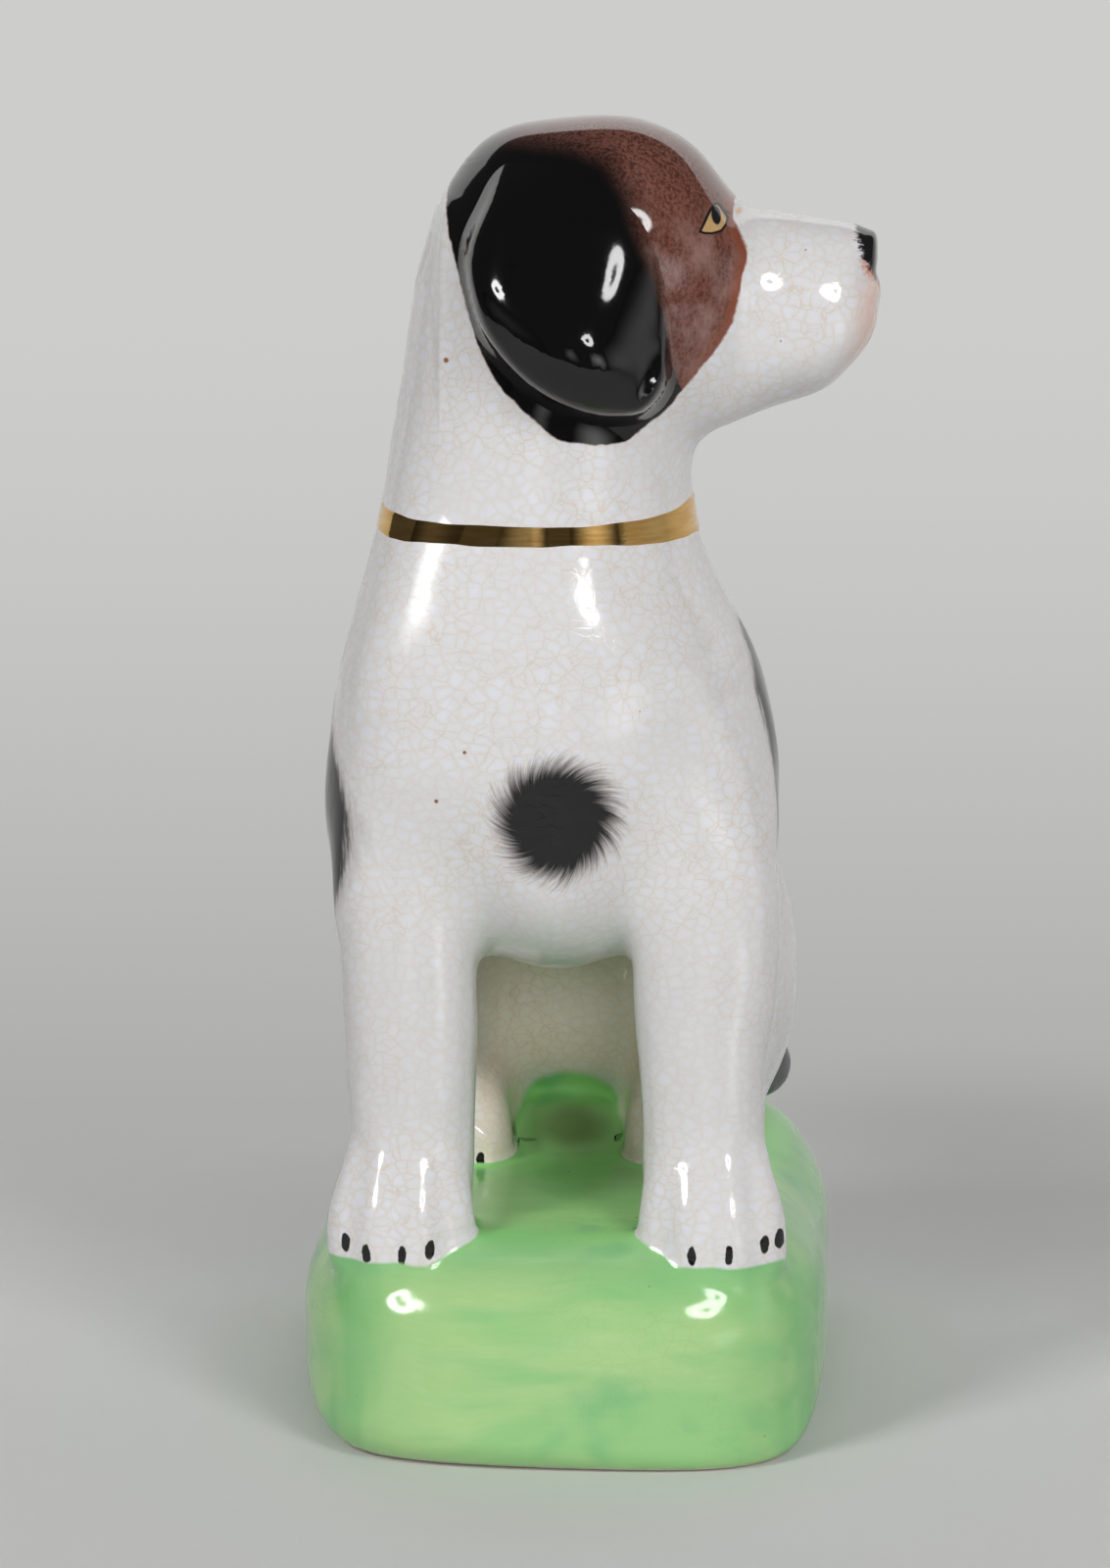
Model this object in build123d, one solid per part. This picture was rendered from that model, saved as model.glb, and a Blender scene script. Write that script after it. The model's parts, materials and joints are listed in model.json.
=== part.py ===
"""Seated earthenware dog on a rounded plinth, made as the potter makes it: hollow press-moulded
halves, separately moulded limbs and a turned head, all luted together with slip.

Frame: millimetres, +Z up. The origin is the centre of the plinth's flat underside. The chest faces
-Y and the head is turned to the dog's own left, +X. "Right" and "left" are the dog's own sides.
"""

import math
import os

from build123d import *

# ---------------------------------------------------------------- driving dimensions (mm)
WALL = 3.8              # wall of the hollow mouldings
SLIP = 0.7              # thickness of a slip (liquid clay) joint
GILT = 0.35             # stand-off of the gilt collar band

PLINTH_W, PLINTH_D, PLINTH_H = 66.0, 96.0, 28.0
PLINTH_CORNER = 15.0    # corner radius seen from above
PLINTH_TOP_R = 12.5     # rounding of the top edge
PLINTH_FOOT_R = 8.0     # rounding of the bottom edge
FLOOR_W, FLOOR_D, FLOOR_T = 38.0, 68.0, 4.5
VENT_R, VENT_Y = 4.0, 18.0          # vent hole through the floor
RISER_R, RISER_Y = 5.0, 35.0        # vent from plinth into the body, under the rump

DOG_X = -1.8            # the dog's middle plane
SEAM_X = -3.0           # plane of the body mould seam
NECK_Z = 115.5          # height of the neck joint, under the collar
HEAD_Y = -15.0          # middle plane of the turned head
COLLAR_Z0, COLLAR_Z1 = 113.7, 117.5

# body sections: centre x, centre y, centre z, tilt from level (deg), half width, half depth
BODY = [
    (-1.8, 35.5, 21.0, 5.0, 15.5, 7.5),
    (-1.8, 35.0, 31.0, 15.0, 18.0, 9.3),
    (-1.9, 28.0, 43.0, 25.0, 22.5, 14.5),
    (-2.0, 17.0, 56.0, 28.0, 26.0, 18.5),
    (-2.2, 5.5, 67.5, 32.0, 27.8, 21.5),
    (-2.4, -4.5, 78.0, 28.0, 28.7, 25.0),
    (-2.7, -11.5, 89.0, 18.0, 28.0, 26.3),
    (-3.6, -13.8, 101.0, 8.0, 25.2, 23.4),
    (-4.4, -14.0, 110.0, 2.0, 21.8, 20.3),
    (-4.55, -14.0, 117.0, 0.0, 19.8, 18.2),
    (-4.50, -14.0, 121.0, 0.0, 19.4, 17.9),
]
# thigh masses moulded with the body: offset from the middle plane, y, z, radii
HAUNCH = (18.2, 17.8, 49.8, 12.4, 22.0, 22.6)

# neck sections above the joint: centre x, z, half width (x), half depth (y)
NECK = [
    (-4.60, 112.0, 20.9, 19.4),
    (-4.50, 117.0, 19.8, 18.2),
    (-4.20, 125.0, 19.0, 17.6),
    (-4.40, 135.0, 17.1, 16.6),
    (-5.20, 145.0, 13.9, 14.6),
    (-6.20, 153.0, 10.2, 11.0),
]
# head sections along +X: x, top z, bottom z, half width
HEAD = [
    (-15.4, 155.6, 143.0, 7.0),
    (-13.0, 159.6, 137.0, 12.0),
    (-8.0, 163.6, 131.5, 16.0),
    (-1.0, 165.9, 128.0, 18.4),
    (6.0, 166.0, 126.8, 18.6),
    (12.5, 164.1, 126.2, 17.0),
    (17.5, 159.4, 126.6, 14.2),
    (21.5, 155.2, 128.4, 11.6),
    (26.0, 154.1, 130.1, 10.2),
    (31.0, 153.5, 132.0, 9.5),
    (34.8, 152.8, 135.3, 8.5),
    (37.3, 151.2, 138.6, 6.2),
    (38.2, 148.6, 141.4, 3.4),
]
# drop ear seen from the side: x, z
EAR = [
    (-6.0, 161.5), (-11.5, 156.0), (-13.0, 150.0), (-11.9, 143.5), (-8.0, 138.2),
    (-2.0, 133.2), (5.0, 130.0), (10.2, 130.6), (12.6, 134.5), (12.0, 143.0),
    (9.5, 151.5), (5.0, 158.5), (-0.5, 162.0),
]
EAR_T = 2.8

# foreleg sections: z, centre x offset outwards, centre y, half width, half depth
LEG_X_RIGHT, LEG_X_LEFT = -20.3, 17.2
LEG = [
    (22.0, 0.0, -33.8, 8.4, 9.4),
    (29.5, 0.0, -33.8, 8.7, 9.7),
    (33.5, 0.0, -33.0, 8.3, 8.9),
    (38.0, 0.0, -31.8, 7.8, 7.9),
    (46.0, 0.1, -31.2, 8.1, 7.8),
    (56.0, 0.5, -30.4, 8.6, 8.6),
    (66.0, 0.9, -27.5, 9.2, 10.6),
    (76.0, 0.6, -24.0, 9.2, 12.2),
    (86.0, -1.0, -20.5, 8.2, 12.0),
    (95.0, -4.2, -17.5, 5.0, 8.5),
]
# hind foot sections along -Y: y, centre z, half width, half height
FOOT_X_RIGHT, FOOT_X_LEFT = -17.3, 14.2
FOOT = [
    (32.0, 31.0, 6.0, 6.0),
    (27.0, 31.5, 7.4, 8.0),
    (16.0, 31.8, 8.0, 9.2),
    (6.0, 31.4, 8.2, 9.0),
    (0.0, 30.4, 7.8, 7.4),
    (-3.0, 29.4, 6.0, 4.8),
]
# tail along its own line: x, y, z, radius
TAIL = [
    (-1.0, 38.0, 38.0, 5.0),
    (4.5, 41.6, 33.0, 4.8),
    (11.5, 42.2, 30.8, 4.5),
    (18.5, 39.0, 30.6, 4.2),
    (22.8, 33.5, 31.0, 3.9),
    (24.6, 28.6, 31.6, 3.1),
    (25.0, 26.4, 31.9, 1.6),
]


# ---------------------------------------------------------------- helpers
def tilted_plane(x, y, z, tilt):
    t = math.radians(tilt)
    return Plane(origin=(x, y, z), x_dir=(1, 0, 0), z_dir=(0, -math.sin(t), math.cos(t)))


def body_solid(grow=0.0):
    """The body mass, grown outwards by a distance."""
    return loft([tilted_plane(x, y, z, t) * Ellipse(a + grow, b + grow) for x, y, z, t, a, b in BODY])


def haunch_solid(side, grow=0.0):
    dx, y, z, rx, ry, rz = HAUNCH
    ball = scale(Sphere(1.0), by=(rx + grow, ry + grow, rz + grow))
    return Pos(DOG_X + side * dx, y, z) * ball


def neck_solid(grow=0.0):
    return loft([Plane(origin=(x, -14.0 - (z - 117.0) * 0.03, z)) * Ellipse(a + grow, b + grow) for x, z, a, b in NECK])


def head_solid(grow=0.0):
    sections = []
    first, last = HEAD[0][0], HEAD[-1][0]
    for x, top, bottom, w in HEAD:
        shift = -grow if x == first else grow if x == last else 0.0
        plane = Plane(origin=(x + shift, HEAD_Y, (top + bottom) / 2), x_dir=(0, 1, 0), z_dir=(1, 0, 0))
        sections.append(plane * Ellipse(max(w + grow, 0.6), max((top - bottom) / 2 + grow, 0.6)))
    return loft(sections)


def leg_solid(centre_x, outwards):
    return loft(
        [Plane(origin=(centre_x + outwards * dx, y, z)) * Ellipse(a, b) for z, dx, y, a, b in LEG]
    )


def foot_solid(centre_x):
    return loft(
        [
            Plane(origin=(centre_x, y, z), x_dir=(1, 0, 0), z_dir=(0, -1, 0)) * Ellipse(a, b)
            for y, z, a, b in FOOT
        ]
    )


def tail_solid():
    sections = []
    for i, (x, y, z, r) in enumerate(TAIL):
        p, q = TAIL[max(i - 1, 0)], TAIL[min(i + 1, len(TAIL) - 1)]
        along = Vector(q[0] - p[0], q[1] - p[1], q[2] - p[2])
        sections.append(Plane(origin=(x, y, z), z_dir=along, x_dir=Vector(0, 0, 1).cross(along)) * Circle(r))
    return loft(sections)


def plinth_solid(grow=0.0):
    block = extrude(RectangleRounded(PLINTH_W + 2 * grow, PLINTH_D + 2 * grow, PLINTH_CORNER + grow), PLINTH_H + grow)
    block = fillet(block.edges().group_by(Axis.Z)[-1], PLINTH_TOP_R + grow)
    return fillet(block.edges().group_by(Axis.Z)[0], PLINTH_FOOT_R)


def slab(axis, low, high):
    """A large flat slice of space between two planes."""
    size = [400.0, 400.0, 400.0]
    centre = [0.0, 0.0, 80.0]
    i = "XYZ".index(axis)
    size[i], centre[i] = high - low, (high + low) / 2
    return Pos(*centre) * Box(*size)


def keep_large(shape, least=1.0):
    """The shape's solids over a volume, in mm3."""
    return [s for s in shape.solids() if s.volume > least]


made = {}


def put(name, *shapes):
    solids = [s for shape in shapes for s in keep_large(shape)]
    made[name] = Compound(children=solids) if len(solids) > 1 else solids[0]


# ---------------------------------------------------------------- plinth
plinth = plinth_solid()
plinth_grown = plinth_solid(SLIP)
cavity = Pos(0, 0, FLOOR_T) * extrude(
    RectangleRounded(PLINTH_W - 9.0, PLINTH_D - 9.0, PLINTH_CORNER - 4.5), PLINTH_H - FLOOR_T - WALL
)
cavity = fillet(cavity.edges().group_by(Axis.Z)[-1], 8.5)
cavity = fillet(cavity.edges().group_by(Axis.Z)[0], 4.0)
mouth = extrude(RectangleRounded(FLOOR_W, FLOOR_D, 8.0), FLOOR_T + 0.5)
riser = Pos(DOG_X, RISER_Y, PLINTH_H - 8) * extrude(Circle(RISER_R), 16)
put("plinth_shell", plinth - cavity - mouth - riser)
floor_bat = extrude(RectangleRounded(FLOOR_W, FLOOR_D, 8.0), FLOOR_T) - Pos(0, VENT_Y, -1) * extrude(
    Circle(VENT_R), FLOOR_T + 2
)
put("plinth_floor", floor_bat)

# ---------------------------------------------------------------- body halves
torso_full = body_solid() + haunch_solid(-1) + haunch_solid(1)
torso_grown = body_solid(SLIP) + haunch_solid(-1, SLIP) + haunch_solid(1, SLIP)
hollow = body_solid(-WALL) + haunch_solid(-1, -WALL) + haunch_solid(1, -WALL)
below_neck = slab("Z", -50.0, NECK_Z - SLIP / 2)
torso_shell = (torso_full - hollow - plinth_grown) & below_neck
put("torso_right_half", torso_shell & slab("X", -200.0, SEAM_X - SLIP / 2))
put("torso_left_half", torso_shell & slab("X", SEAM_X + SLIP / 2, 200.0))
put("torso_seam_slip", torso_shell & slab("X", SEAM_X - SLIP / 2, SEAM_X + SLIP / 2))

# ---------------------------------------------------------------- head halves
neck = neck_solid() & slab("Z", NECK_Z - SLIP / 2, 200.0)
head_full = neck + head_solid()
head_hollow = (neck_solid(-WALL) & slab("Z", 100.0, 200.0)) + head_solid(-WALL)
head_shell = head_full - head_hollow
above_neck = slab("Z", NECK_Z + SLIP / 2, 200.0)
neck_ring = head_shell & slab("Z", NECK_Z - SLIP / 2, NECK_Z + SLIP / 2)
head_shell = head_shell & above_neck
put("head_right_half", head_shell & slab("Y", -200.0, HEAD_Y - SLIP / 2))
put("head_left_half", head_shell & slab("Y", HEAD_Y + SLIP / 2, 200.0))
put("head_seam_slip", head_shell & slab("Y", HEAD_Y - SLIP / 2, HEAD_Y + SLIP / 2))
put("neck_slip_ring", neck_ring)

# ---------------------------------------------------------------- ears, sprigged on to the head
ear_outline = make_face(Spline(*[(x, z) for x, z in EAR], periodic=True))
ear_prism = extrude(Plane.XZ * ear_outline, 80.0, both=True)
head_fat = neck_solid(EAR_T) + head_solid(EAR_T)
head_slip = neck_solid(SLIP) + head_solid(SLIP)
ears = head_fat & ear_prism
ear_right = ears & slab("Y", -200.0, HEAD_Y - 4.0)
ear_left = ears & slab("Y", HEAD_Y + 4.0, 200.0)
put("ear_right", ear_right - head_slip)
put("ear_left", ear_left - head_slip)
put("ear_slip_pads", (ear_right & head_slip) - head_full, (ear_left & head_slip) - head_full)

# ---------------------------------------------------------------- forelegs
leg_right, leg_left = leg_solid(LEG_X_RIGHT, -1), leg_solid(LEG_X_LEFT, 1)
put("foreleg_right", leg_right - torso_grown - plinth_grown)
put("foreleg_left", leg_left - torso_grown - plinth_grown)
put(
    "foreleg_slip_joints",
    ((leg_right & torso_grown) - torso_full),
    ((leg_left & torso_grown) - torso_full),
)

# ---------------------------------------------------------------- hind feet
foot_right, foot_left = foot_solid(FOOT_X_RIGHT), foot_solid(FOOT_X_LEFT)
tail = tail_solid()
foot_left = foot_left - tail
put("hind_foot_right", foot_right - torso_grown - plinth_grown)
put("hind_foot_left", foot_left - torso_grown - plinth_grown)
put(
    "hind_foot_slip_joints",
    ((foot_right & torso_grown) - torso_full - plinth_grown),
    ((foot_left & torso_grown) - torso_full - plinth_grown),
)

# ---------------------------------------------------------------- tail
put("tail", tail - torso_grown - plinth_grown)
put("tail_slip_joint", (tail & torso_grown) - torso_full - plinth_grown)

# ---------------------------------------------------------------- slip bed on the plinth top
standing = (torso_full - hollow) + leg_right + leg_left + foot_right + foot_left + tail
put("plinth_slip_bed", (standing & plinth_grown) - plinth - riser)

# ---------------------------------------------------------------- gilt collar
band = slab("Z", COLLAR_Z0, COLLAR_Z1)
lower = (body_solid(GILT) - body_solid()) & slab("Z", COLLAR_Z0, NECK_Z - SLIP / 2)
upper = (neck_solid(GILT) - neck_solid()) & slab("Z", NECK_Z - SLIP / 2, COLLAR_Z1)
put("gilt_collar", lower + upper)

os.makedirs("parts", exist_ok=True)
for name, shape in made.items():
    export_step(shape, f"parts/{name}.step")
    print(name, [round(s.volume) for s in shape.solids()], shape.is_valid)
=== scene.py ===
"""Seated glazed earthenware dog on a green plinth.

The figure's skin is one smooth field, in millimetres, in the row frame: +Z up, chest to -Y, head
turned to +X. The field is meshed, cut along the potter's joints into pieces, and glazed with
procedural materials.
"""

import json
import math

import bpy
import numpy as np
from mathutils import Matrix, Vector
from mathutils.geometry import tessellate_polygon

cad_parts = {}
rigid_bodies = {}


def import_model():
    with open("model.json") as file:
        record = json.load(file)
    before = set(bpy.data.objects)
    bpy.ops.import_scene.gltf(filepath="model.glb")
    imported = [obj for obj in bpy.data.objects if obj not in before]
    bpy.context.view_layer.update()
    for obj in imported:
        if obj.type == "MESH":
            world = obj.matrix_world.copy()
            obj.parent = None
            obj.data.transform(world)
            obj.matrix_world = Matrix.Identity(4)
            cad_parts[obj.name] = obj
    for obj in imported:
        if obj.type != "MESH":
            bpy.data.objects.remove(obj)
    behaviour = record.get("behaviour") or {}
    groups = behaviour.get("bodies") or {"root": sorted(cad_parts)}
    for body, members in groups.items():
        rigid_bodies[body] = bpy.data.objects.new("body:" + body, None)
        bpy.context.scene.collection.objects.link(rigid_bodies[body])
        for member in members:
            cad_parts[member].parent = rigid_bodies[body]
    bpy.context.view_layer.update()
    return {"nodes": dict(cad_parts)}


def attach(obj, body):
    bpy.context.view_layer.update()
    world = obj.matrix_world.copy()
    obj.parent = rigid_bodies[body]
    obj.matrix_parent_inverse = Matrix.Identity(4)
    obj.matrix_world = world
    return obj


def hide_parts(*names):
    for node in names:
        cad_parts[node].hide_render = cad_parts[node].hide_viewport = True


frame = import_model()

MM = 0.001
HEAD_Y = -15.0          # middle plane of the turned head
DOG_X = -1.8            # middle plane of the body
NECK_CUT = 115.6        # joint under the gilt collar

# ------------------------------------------------------------------------------------------ shape tables
# body and neck, from the rump up: centre x, y, z, tilt from level (deg), half width, half depth
TUBE = [
    (-1.8, 35.5, 14.0, 4.0, 15.0, 7.0),
    (-1.8, 35.2, 25.0, 10.0, 17.0, 8.8),
    (-1.8, 32.5, 35.0, 18.0, 20.0, 11.6),
    (-1.9, 27.0, 45.0, 25.0, 23.2, 15.2),
    (-2.0, 17.0, 56.0, 29.0, 25.8, 18.6),
    (-2.2, 5.5, 67.5, 32.0, 27.6, 21.8),
    (-2.4, -4.5, 78.0, 28.0, 28.6, 25.0),
    (-2.7, -11.0, 88.5, 18.0, 28.2, 26.4),
    (-3.4, -13.8, 100.0, 9.0, 25.6, 23.9),
    (-4.3, -14.2, 109.0, 3.0, 22.0, 20.6),
    (-4.55, -14.2, 117.0, 0.0, 19.8, 18.2),
    (-4.2, -14.3, 125.0, 0.0, 19.0, 17.6),
    (-4.3, -14.6, 135.0, 0.0, 17.2, 16.6),
    (-5.4, -15.0, 145.0, 0.0, 14.4, 14.6),
    (-5.6, -15.0, 150.0, 0.0, 12.2, 11.8),
    (-5.2, -15.0, 154.0, 0.0, 9.4, 8.8),
    (-4.4, -15.0, 157.0, 0.0, 6.0, 5.8),
]
# thigh: offset from the middle plane, y, z, radii, lean forward (deg)
HAUNCH = (18.0, 18.0, 50.5, 12.6, 21.5, 23.0, 12.0)
# forelegs: z, centre x, centre y, half width, half depth
LEG_RIGHT = [
    (18.0, -20.7, -33.4, 8.4, 9.0),
    (26.0, -20.7, -33.4, 8.7, 9.0),
    (30.0, -20.5, -33.0, 8.5, 8.7),
    (34.0, -20.0, -31.9, 8.1, 8.3),
    (38.0, -19.7, -30.6, 7.8, 8.0),
    (44.0, -19.75, -29.9, 8.05, 7.9),
    (52.0, -19.95, -28.5, 8.25, 7.8),
    (59.0, -20.25, -26.8, 8.55, 8.2),
    (66.0, -20.6, -24.8, 9.1, 9.0),
    (74.0, -20.4, -22.9, 9.1, 9.7),
    (84.0, -18.8, -20.6, 8.4, 10.0),
    (94.0, -15.8, -18.0, 5.0, 8.0),
]
LEG_LEFT = [
    (18.0, 18.2, -33.4, 8.4, 9.0),
    (26.0, 18.3, -33.4, 8.7, 9.0),
    (30.0, 18.0, -33.0, 8.4, 8.7),
    (34.0, 17.4, -31.9, 8.0, 8.3),
    (38.0, 17.05, -30.6, 7.65, 8.0),
    (43.4, 16.95, -29.9, 7.75, 7.9),
    (50.0, 16.9, -28.8, 8.2, 7.8),
    (56.0, 17.1, -27.4, 8.9, 8.1),
    (64.0, 17.1, -25.3, 9.5, 8.8),
    (74.0, 16.5, -22.6, 9.4, 9.4),
    (84.0, 15.0, -19.6, 8.4, 9.6),
    (94.0, 12.0, -17.5, 4.8, 8.0),
]
# opening under the belly: middle x, half width, front y, back wall y, roof z, rounding
ARCH = (-1.8, 12.6, -17.5, 13.5, 62.0, 14.0)
# keel of the chest, between the legs: centre and radii
KEEL = ((-2.2, -16.5, 76.6), (13.0, 20.5, 18.0))
# hind foot along the ground: y, centre z, half width, half height
FOOT = [
    (36.0, 30.0, 5.5, 5.0),
    (28.0, 31.2, 7.2, 8.2),
    (16.0, 31.8, 7.9, 9.4),
    (6.0, 31.4, 8.1, 9.0),
    (0.5, 30.2, 7.6, 7.6),
    (-2.6, 29.2, 5.6, 5.0),
]
FOOT_X = (-17.3, 14.3)
# tail along its line: x, y, z, radius
TAIL = [
    (-1.5, 38.0, 40.0, 4.6),
    (2.5, 41.0, 34.5, 4.7),
    (8.0, 42.0, 31.4, 4.6),
    (14.0, 41.4, 31.6, 4.4),
    (19.0, 38.4, 33.2, 4.8),
    (22.0, 33.6, 34.3, 5.2),
    (23.3, 29.4, 34.9, 4.8),
]
# head along +X: x, top z, bottom z, half width, height of the widest line, squareness
HEAD = [
    (-16.9, 155.0, 147.0, 4.2, 151.0, 2.0),
    (-16.1, 156.9, 143.5, 7.0, 151.0, 2.0),
    (-14.6, 159.3, 139.5, 9.8, 150.6, 2.0),
    (-12.6, 161.8, 136.0, 12.4, 150.0, 2.0),
    (-9.5, 164.2, 132.5, 15.2, 149.5, 2.1),
    (-4.0, 165.6, 129.0, 17.6, 149.0, 2.2),
    (2.0, 166.1, 127.2, 18.6, 148.5, 2.2),
    (8.0, 165.8, 126.4, 18.2, 148.0, 2.2),
    (12.0, 164.4, 126.2, 17.0, 147.5, 2.2),
    (15.5, 161.9, 126.6, 15.4, 146.8, 2.2),
    (18.5, 158.3, 127.3, 13.6, 146.0, 2.2),
    (20.8, 155.7, 128.2, 12.0, 144.6, 2.2),
    (24.0, 154.5, 129.5, 11.3, 141.0, 2.1),
    (28.5, 153.9, 131.0, 10.9, 139.5, 2.05),
    (32.0, 153.3, 132.6, 10.4, 139.5, 2.05),
    (35.0, 152.7, 135.5, 9.1, 140.5, 2.0),
    (36.8, 151.7, 137.7, 7.1, 142.6, 2.0),
    (37.9, 149.8, 140.3, 4.6, 145.0, 2.0),
    (38.4, 147.2, 142.6, 2.3, 145.0, 2.0),
]
# drop ear seen from the side: x, z
EAR = [
    (-5.5, 163.0), (-8.2, 160.4), (-10.2, 155.8), (-11.9, 152.2), (-12.5, 149.0), (-12.1, 146.0), (-10.7, 141.5),
    (-8.6, 138.2), (-5.7, 135.0), (-2.1, 132.4), (2.2, 130.6), (6.5, 130.1), (9.4, 130.8), (11.0, 132.3), (12.0, 134.4),
    (12.3, 137.6), (12.3, 141.5), (12.4, 146.0), (11.6, 151.0), (9.0, 157.0), (4.5, 162.0), (-0.8, 164.6),
]
# how far the flap stands off the head, by height: z, distance
EAR_HANG = [(118.0, 7.4), (131.0, 7.4), (135.0, 7.3), (139.0, 6.5), (143.0, 5.1), (147.0, 3.4), (152.0, 1.5), (157.0, 0.3), (160.0, 0.0), (172.0, 0.0)]
PLINTH = (33.7, 48.0, 28.0, 4.8, 12.5, 8.6)      # half width, half depth, height, squareness, top and foot rounding
TOE = (5.6, 2.6)         # foot rounding at the front edge, under the dog's right and left paw


# ------------------------------------------------------------------------------------------ field maths
def spline(xs, ys):
    """Natural cubic spline through the points, level beyond its ends."""
    xs, ys = np.asarray(xs, float), np.asarray(ys, float)
    n, h = len(xs), np.diff(xs)
    m, r = np.eye(n), np.zeros(n)
    for i in range(1, n - 1):
        m[i, i - 1 : i + 2] = h[i - 1], 2 * (h[i - 1] + h[i]), h[i]
        r[i] = 6 * ((ys[i + 1] - ys[i]) / h[i] - (ys[i] - ys[i - 1]) / h[i - 1])
    k = np.linalg.solve(m, r)

    def at(q):
        q = np.clip(q, xs[0], xs[-1])
        i = np.clip(np.searchsorted(xs, q) - 1, 0, n - 2)
        d, e, w = q - xs[i], xs[i + 1] - q, h[i]
        return (
            (k[i] * e**3 + k[i + 1] * d**3) / (6 * w)
            + (ys[i] / w - k[i] * w / 6) * e
            + (ys[i + 1] / w - k[i + 1] * w / 6) * d
        )

    return at


def closed_curve(points, count=400):
    """A smooth closed curve through the points, as (count, 2)."""
    p = np.array(points, float)
    ring = np.vstack([p[-3:], p, p[:3]])
    s = np.concatenate([[0], np.cumsum(np.hypot(*np.diff(ring, axis=0).T))])
    q = np.linspace(s[3], s[-3], count, endpoint=False)
    return np.stack([spline(s, ring[:, 0])(q), spline(s, ring[:, 1])(q)], 1)


def outline_distance(u, v, curve):
    """Signed distance from the points to a closed curve in the plane, negative inside."""
    shape = np.broadcast(u, v).shape
    u, v = np.broadcast_to(u, shape).ravel(), np.broadcast_to(v, shape).ravel()
    a, b = curve, np.roll(curve, -1, axis=0)
    ab = b - a
    out = np.empty(u.size, np.float32)
    for s in range(0, u.size, 8000):
        pu, pv = u[s : s + 8000, None], v[s : s + 8000, None]
        du, dv = pu - a[:, 0], pv - a[:, 1]
        t = np.clip((du * ab[:, 0] + dv * ab[:, 1]) / (ab**2).sum(1), 0, 1)
        d = np.sqrt(((du - t * ab[:, 0]) ** 2 + (dv - t * ab[:, 1]) ** 2).min(1))
        up = (a[:, 1] <= pv) != (b[:, 1] <= pv)
        cross = a[:, 0] + (pv - a[:, 1]) / np.where(ab[:, 1] == 0, 1e-9, ab[:, 1]) * ab[:, 0]
        inside = ((up & (cross > pu)).sum(1) % 2) == 1
        out[s : s + 8000] = np.where(inside, -d, d)
    return out.reshape(shape)


def smin(a, b, k):
    """Union with a rounded join of width k."""
    h = np.clip(0.5 + 0.5 * (b - a) / k, 0, 1)
    return b + (a - b) * h - k * h * (1 - h)


def smax(a, b, k):
    return -smin(-a, -b, k)


def smooth(t):
    t = np.clip(t, 0, 1)
    return t * t * (3 - 2 * t)


def as_distance(f, step):
    """A field made close to a true distance near its zero surface."""
    g = np.gradient(f, step)
    return f / np.maximum(np.sqrt(g[0] ** 2 + g[1] ** 2 + g[2] ** 2), 0.2)


class Tube:
    """Tilted elliptical sections along a line in the plane of the dog's middle."""

    def __init__(self, rows, samples=300):
        rows = np.array(rows, float)
        s = np.concatenate([[0], np.cumsum(np.hypot(*np.diff(rows[:, 1:3], axis=0).T))])
        q = np.linspace(0, s[-1], samples)
        self.cols = np.stack([spline(s, rows[:, i])(q) for i in range(6)])

    def section(self, y, z):
        """At the points: centre x, half width, half depth, depth coordinate, and height over the first and last sections."""
        shape = np.broadcast(y, z).shape
        y, z = np.broadcast_to(y, shape).ravel(), np.broadcast_to(z, shape).ravel()
        cx, cy, cz, tilt, a, b = self.cols
        sn, cs = np.sin(np.radians(tilt)), np.cos(np.radians(tilt))
        out = np.empty((6, y.size), np.float32)
        for i in range(0, y.size, 20000):
            yy, zz = y[i : i + 20000, None], z[i : i + 20000, None]
            h = (zz - cz) * cs - (yy - cy) * sn
            k = np.clip((h > 0).sum(1), 1, h.shape[1] - 1)
            r = np.arange(len(k))
            h0, h1 = h[r, k - 1], h[r, k]
            t = np.clip(h0 / np.where(h0 == h1, 1e-9, h0 - h1), 0, 1)
            v = (k - 1 + t) / (h.shape[1] - 1)
            j = v * (h.shape[1] - 1)
            at = lambda c: np.interp(j, np.arange(len(c)), c)
            th = np.radians(at(tilt))
            depth = -(yy[:, 0] - at(cy)) * np.cos(th) - (zz[:, 0] - at(cz)) * np.sin(th)
            out[:, i : i + 20000] = at(cx), at(a), at(b), depth, h[:, 0], h[:, -1]
        return out.reshape((6,) + shape)

    def power(self, z):
        """Squareness of the section over the dog's right breast, rounder at the collar and under the belly."""
        return 2.0 + 1.8 * smooth((z - 60.0) / 30.0) * smooth((131.0 - z) / 29.0)

    def field(self, x, y, z):
        cx, a, b, depth, low, high = self.section(y, z)
        n = np.where((x < cx) & (depth > 0), self.power(z), 2.0)
        g = ((np.abs(x - cx) / a) ** n + (np.abs(depth) / b) ** n) ** (1 / n)
        return np.maximum((g - 1) * np.minimum(a, b), np.maximum(-low, high))


def column(rows, x, y, z, n=2.4):
    """Upright limb with rounded-square sections."""
    rows = np.array(rows, float)
    cx, cy, a, b = (spline(rows[:, 0], rows[:, i])(z) for i in range(1, 5))
    g = (np.abs((x - cx) / a) ** n + np.abs((y - cy) / b) ** n) ** (1 / n)
    f = (g - 1) * np.minimum(a, b)
    return np.maximum(f, np.maximum(rows[0, 0] - z, z - rows[-1, 0]))


def ball(x, y, z, centre, radii, lean=0.0):
    """Ellipsoid, leaned forward about X."""
    t = math.radians(lean)
    dy, dz = y - centre[1], z - centre[2]
    v, w = dy * math.cos(t) + dz * math.sin(t), -dy * math.sin(t) + dz * math.cos(t)
    g = np.sqrt(((x - centre[0]) / radii[0]) ** 2 + (v / radii[1]) ** 2 + (w / radii[2]) ** 2)
    return (g - 1) * min(radii)


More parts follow.
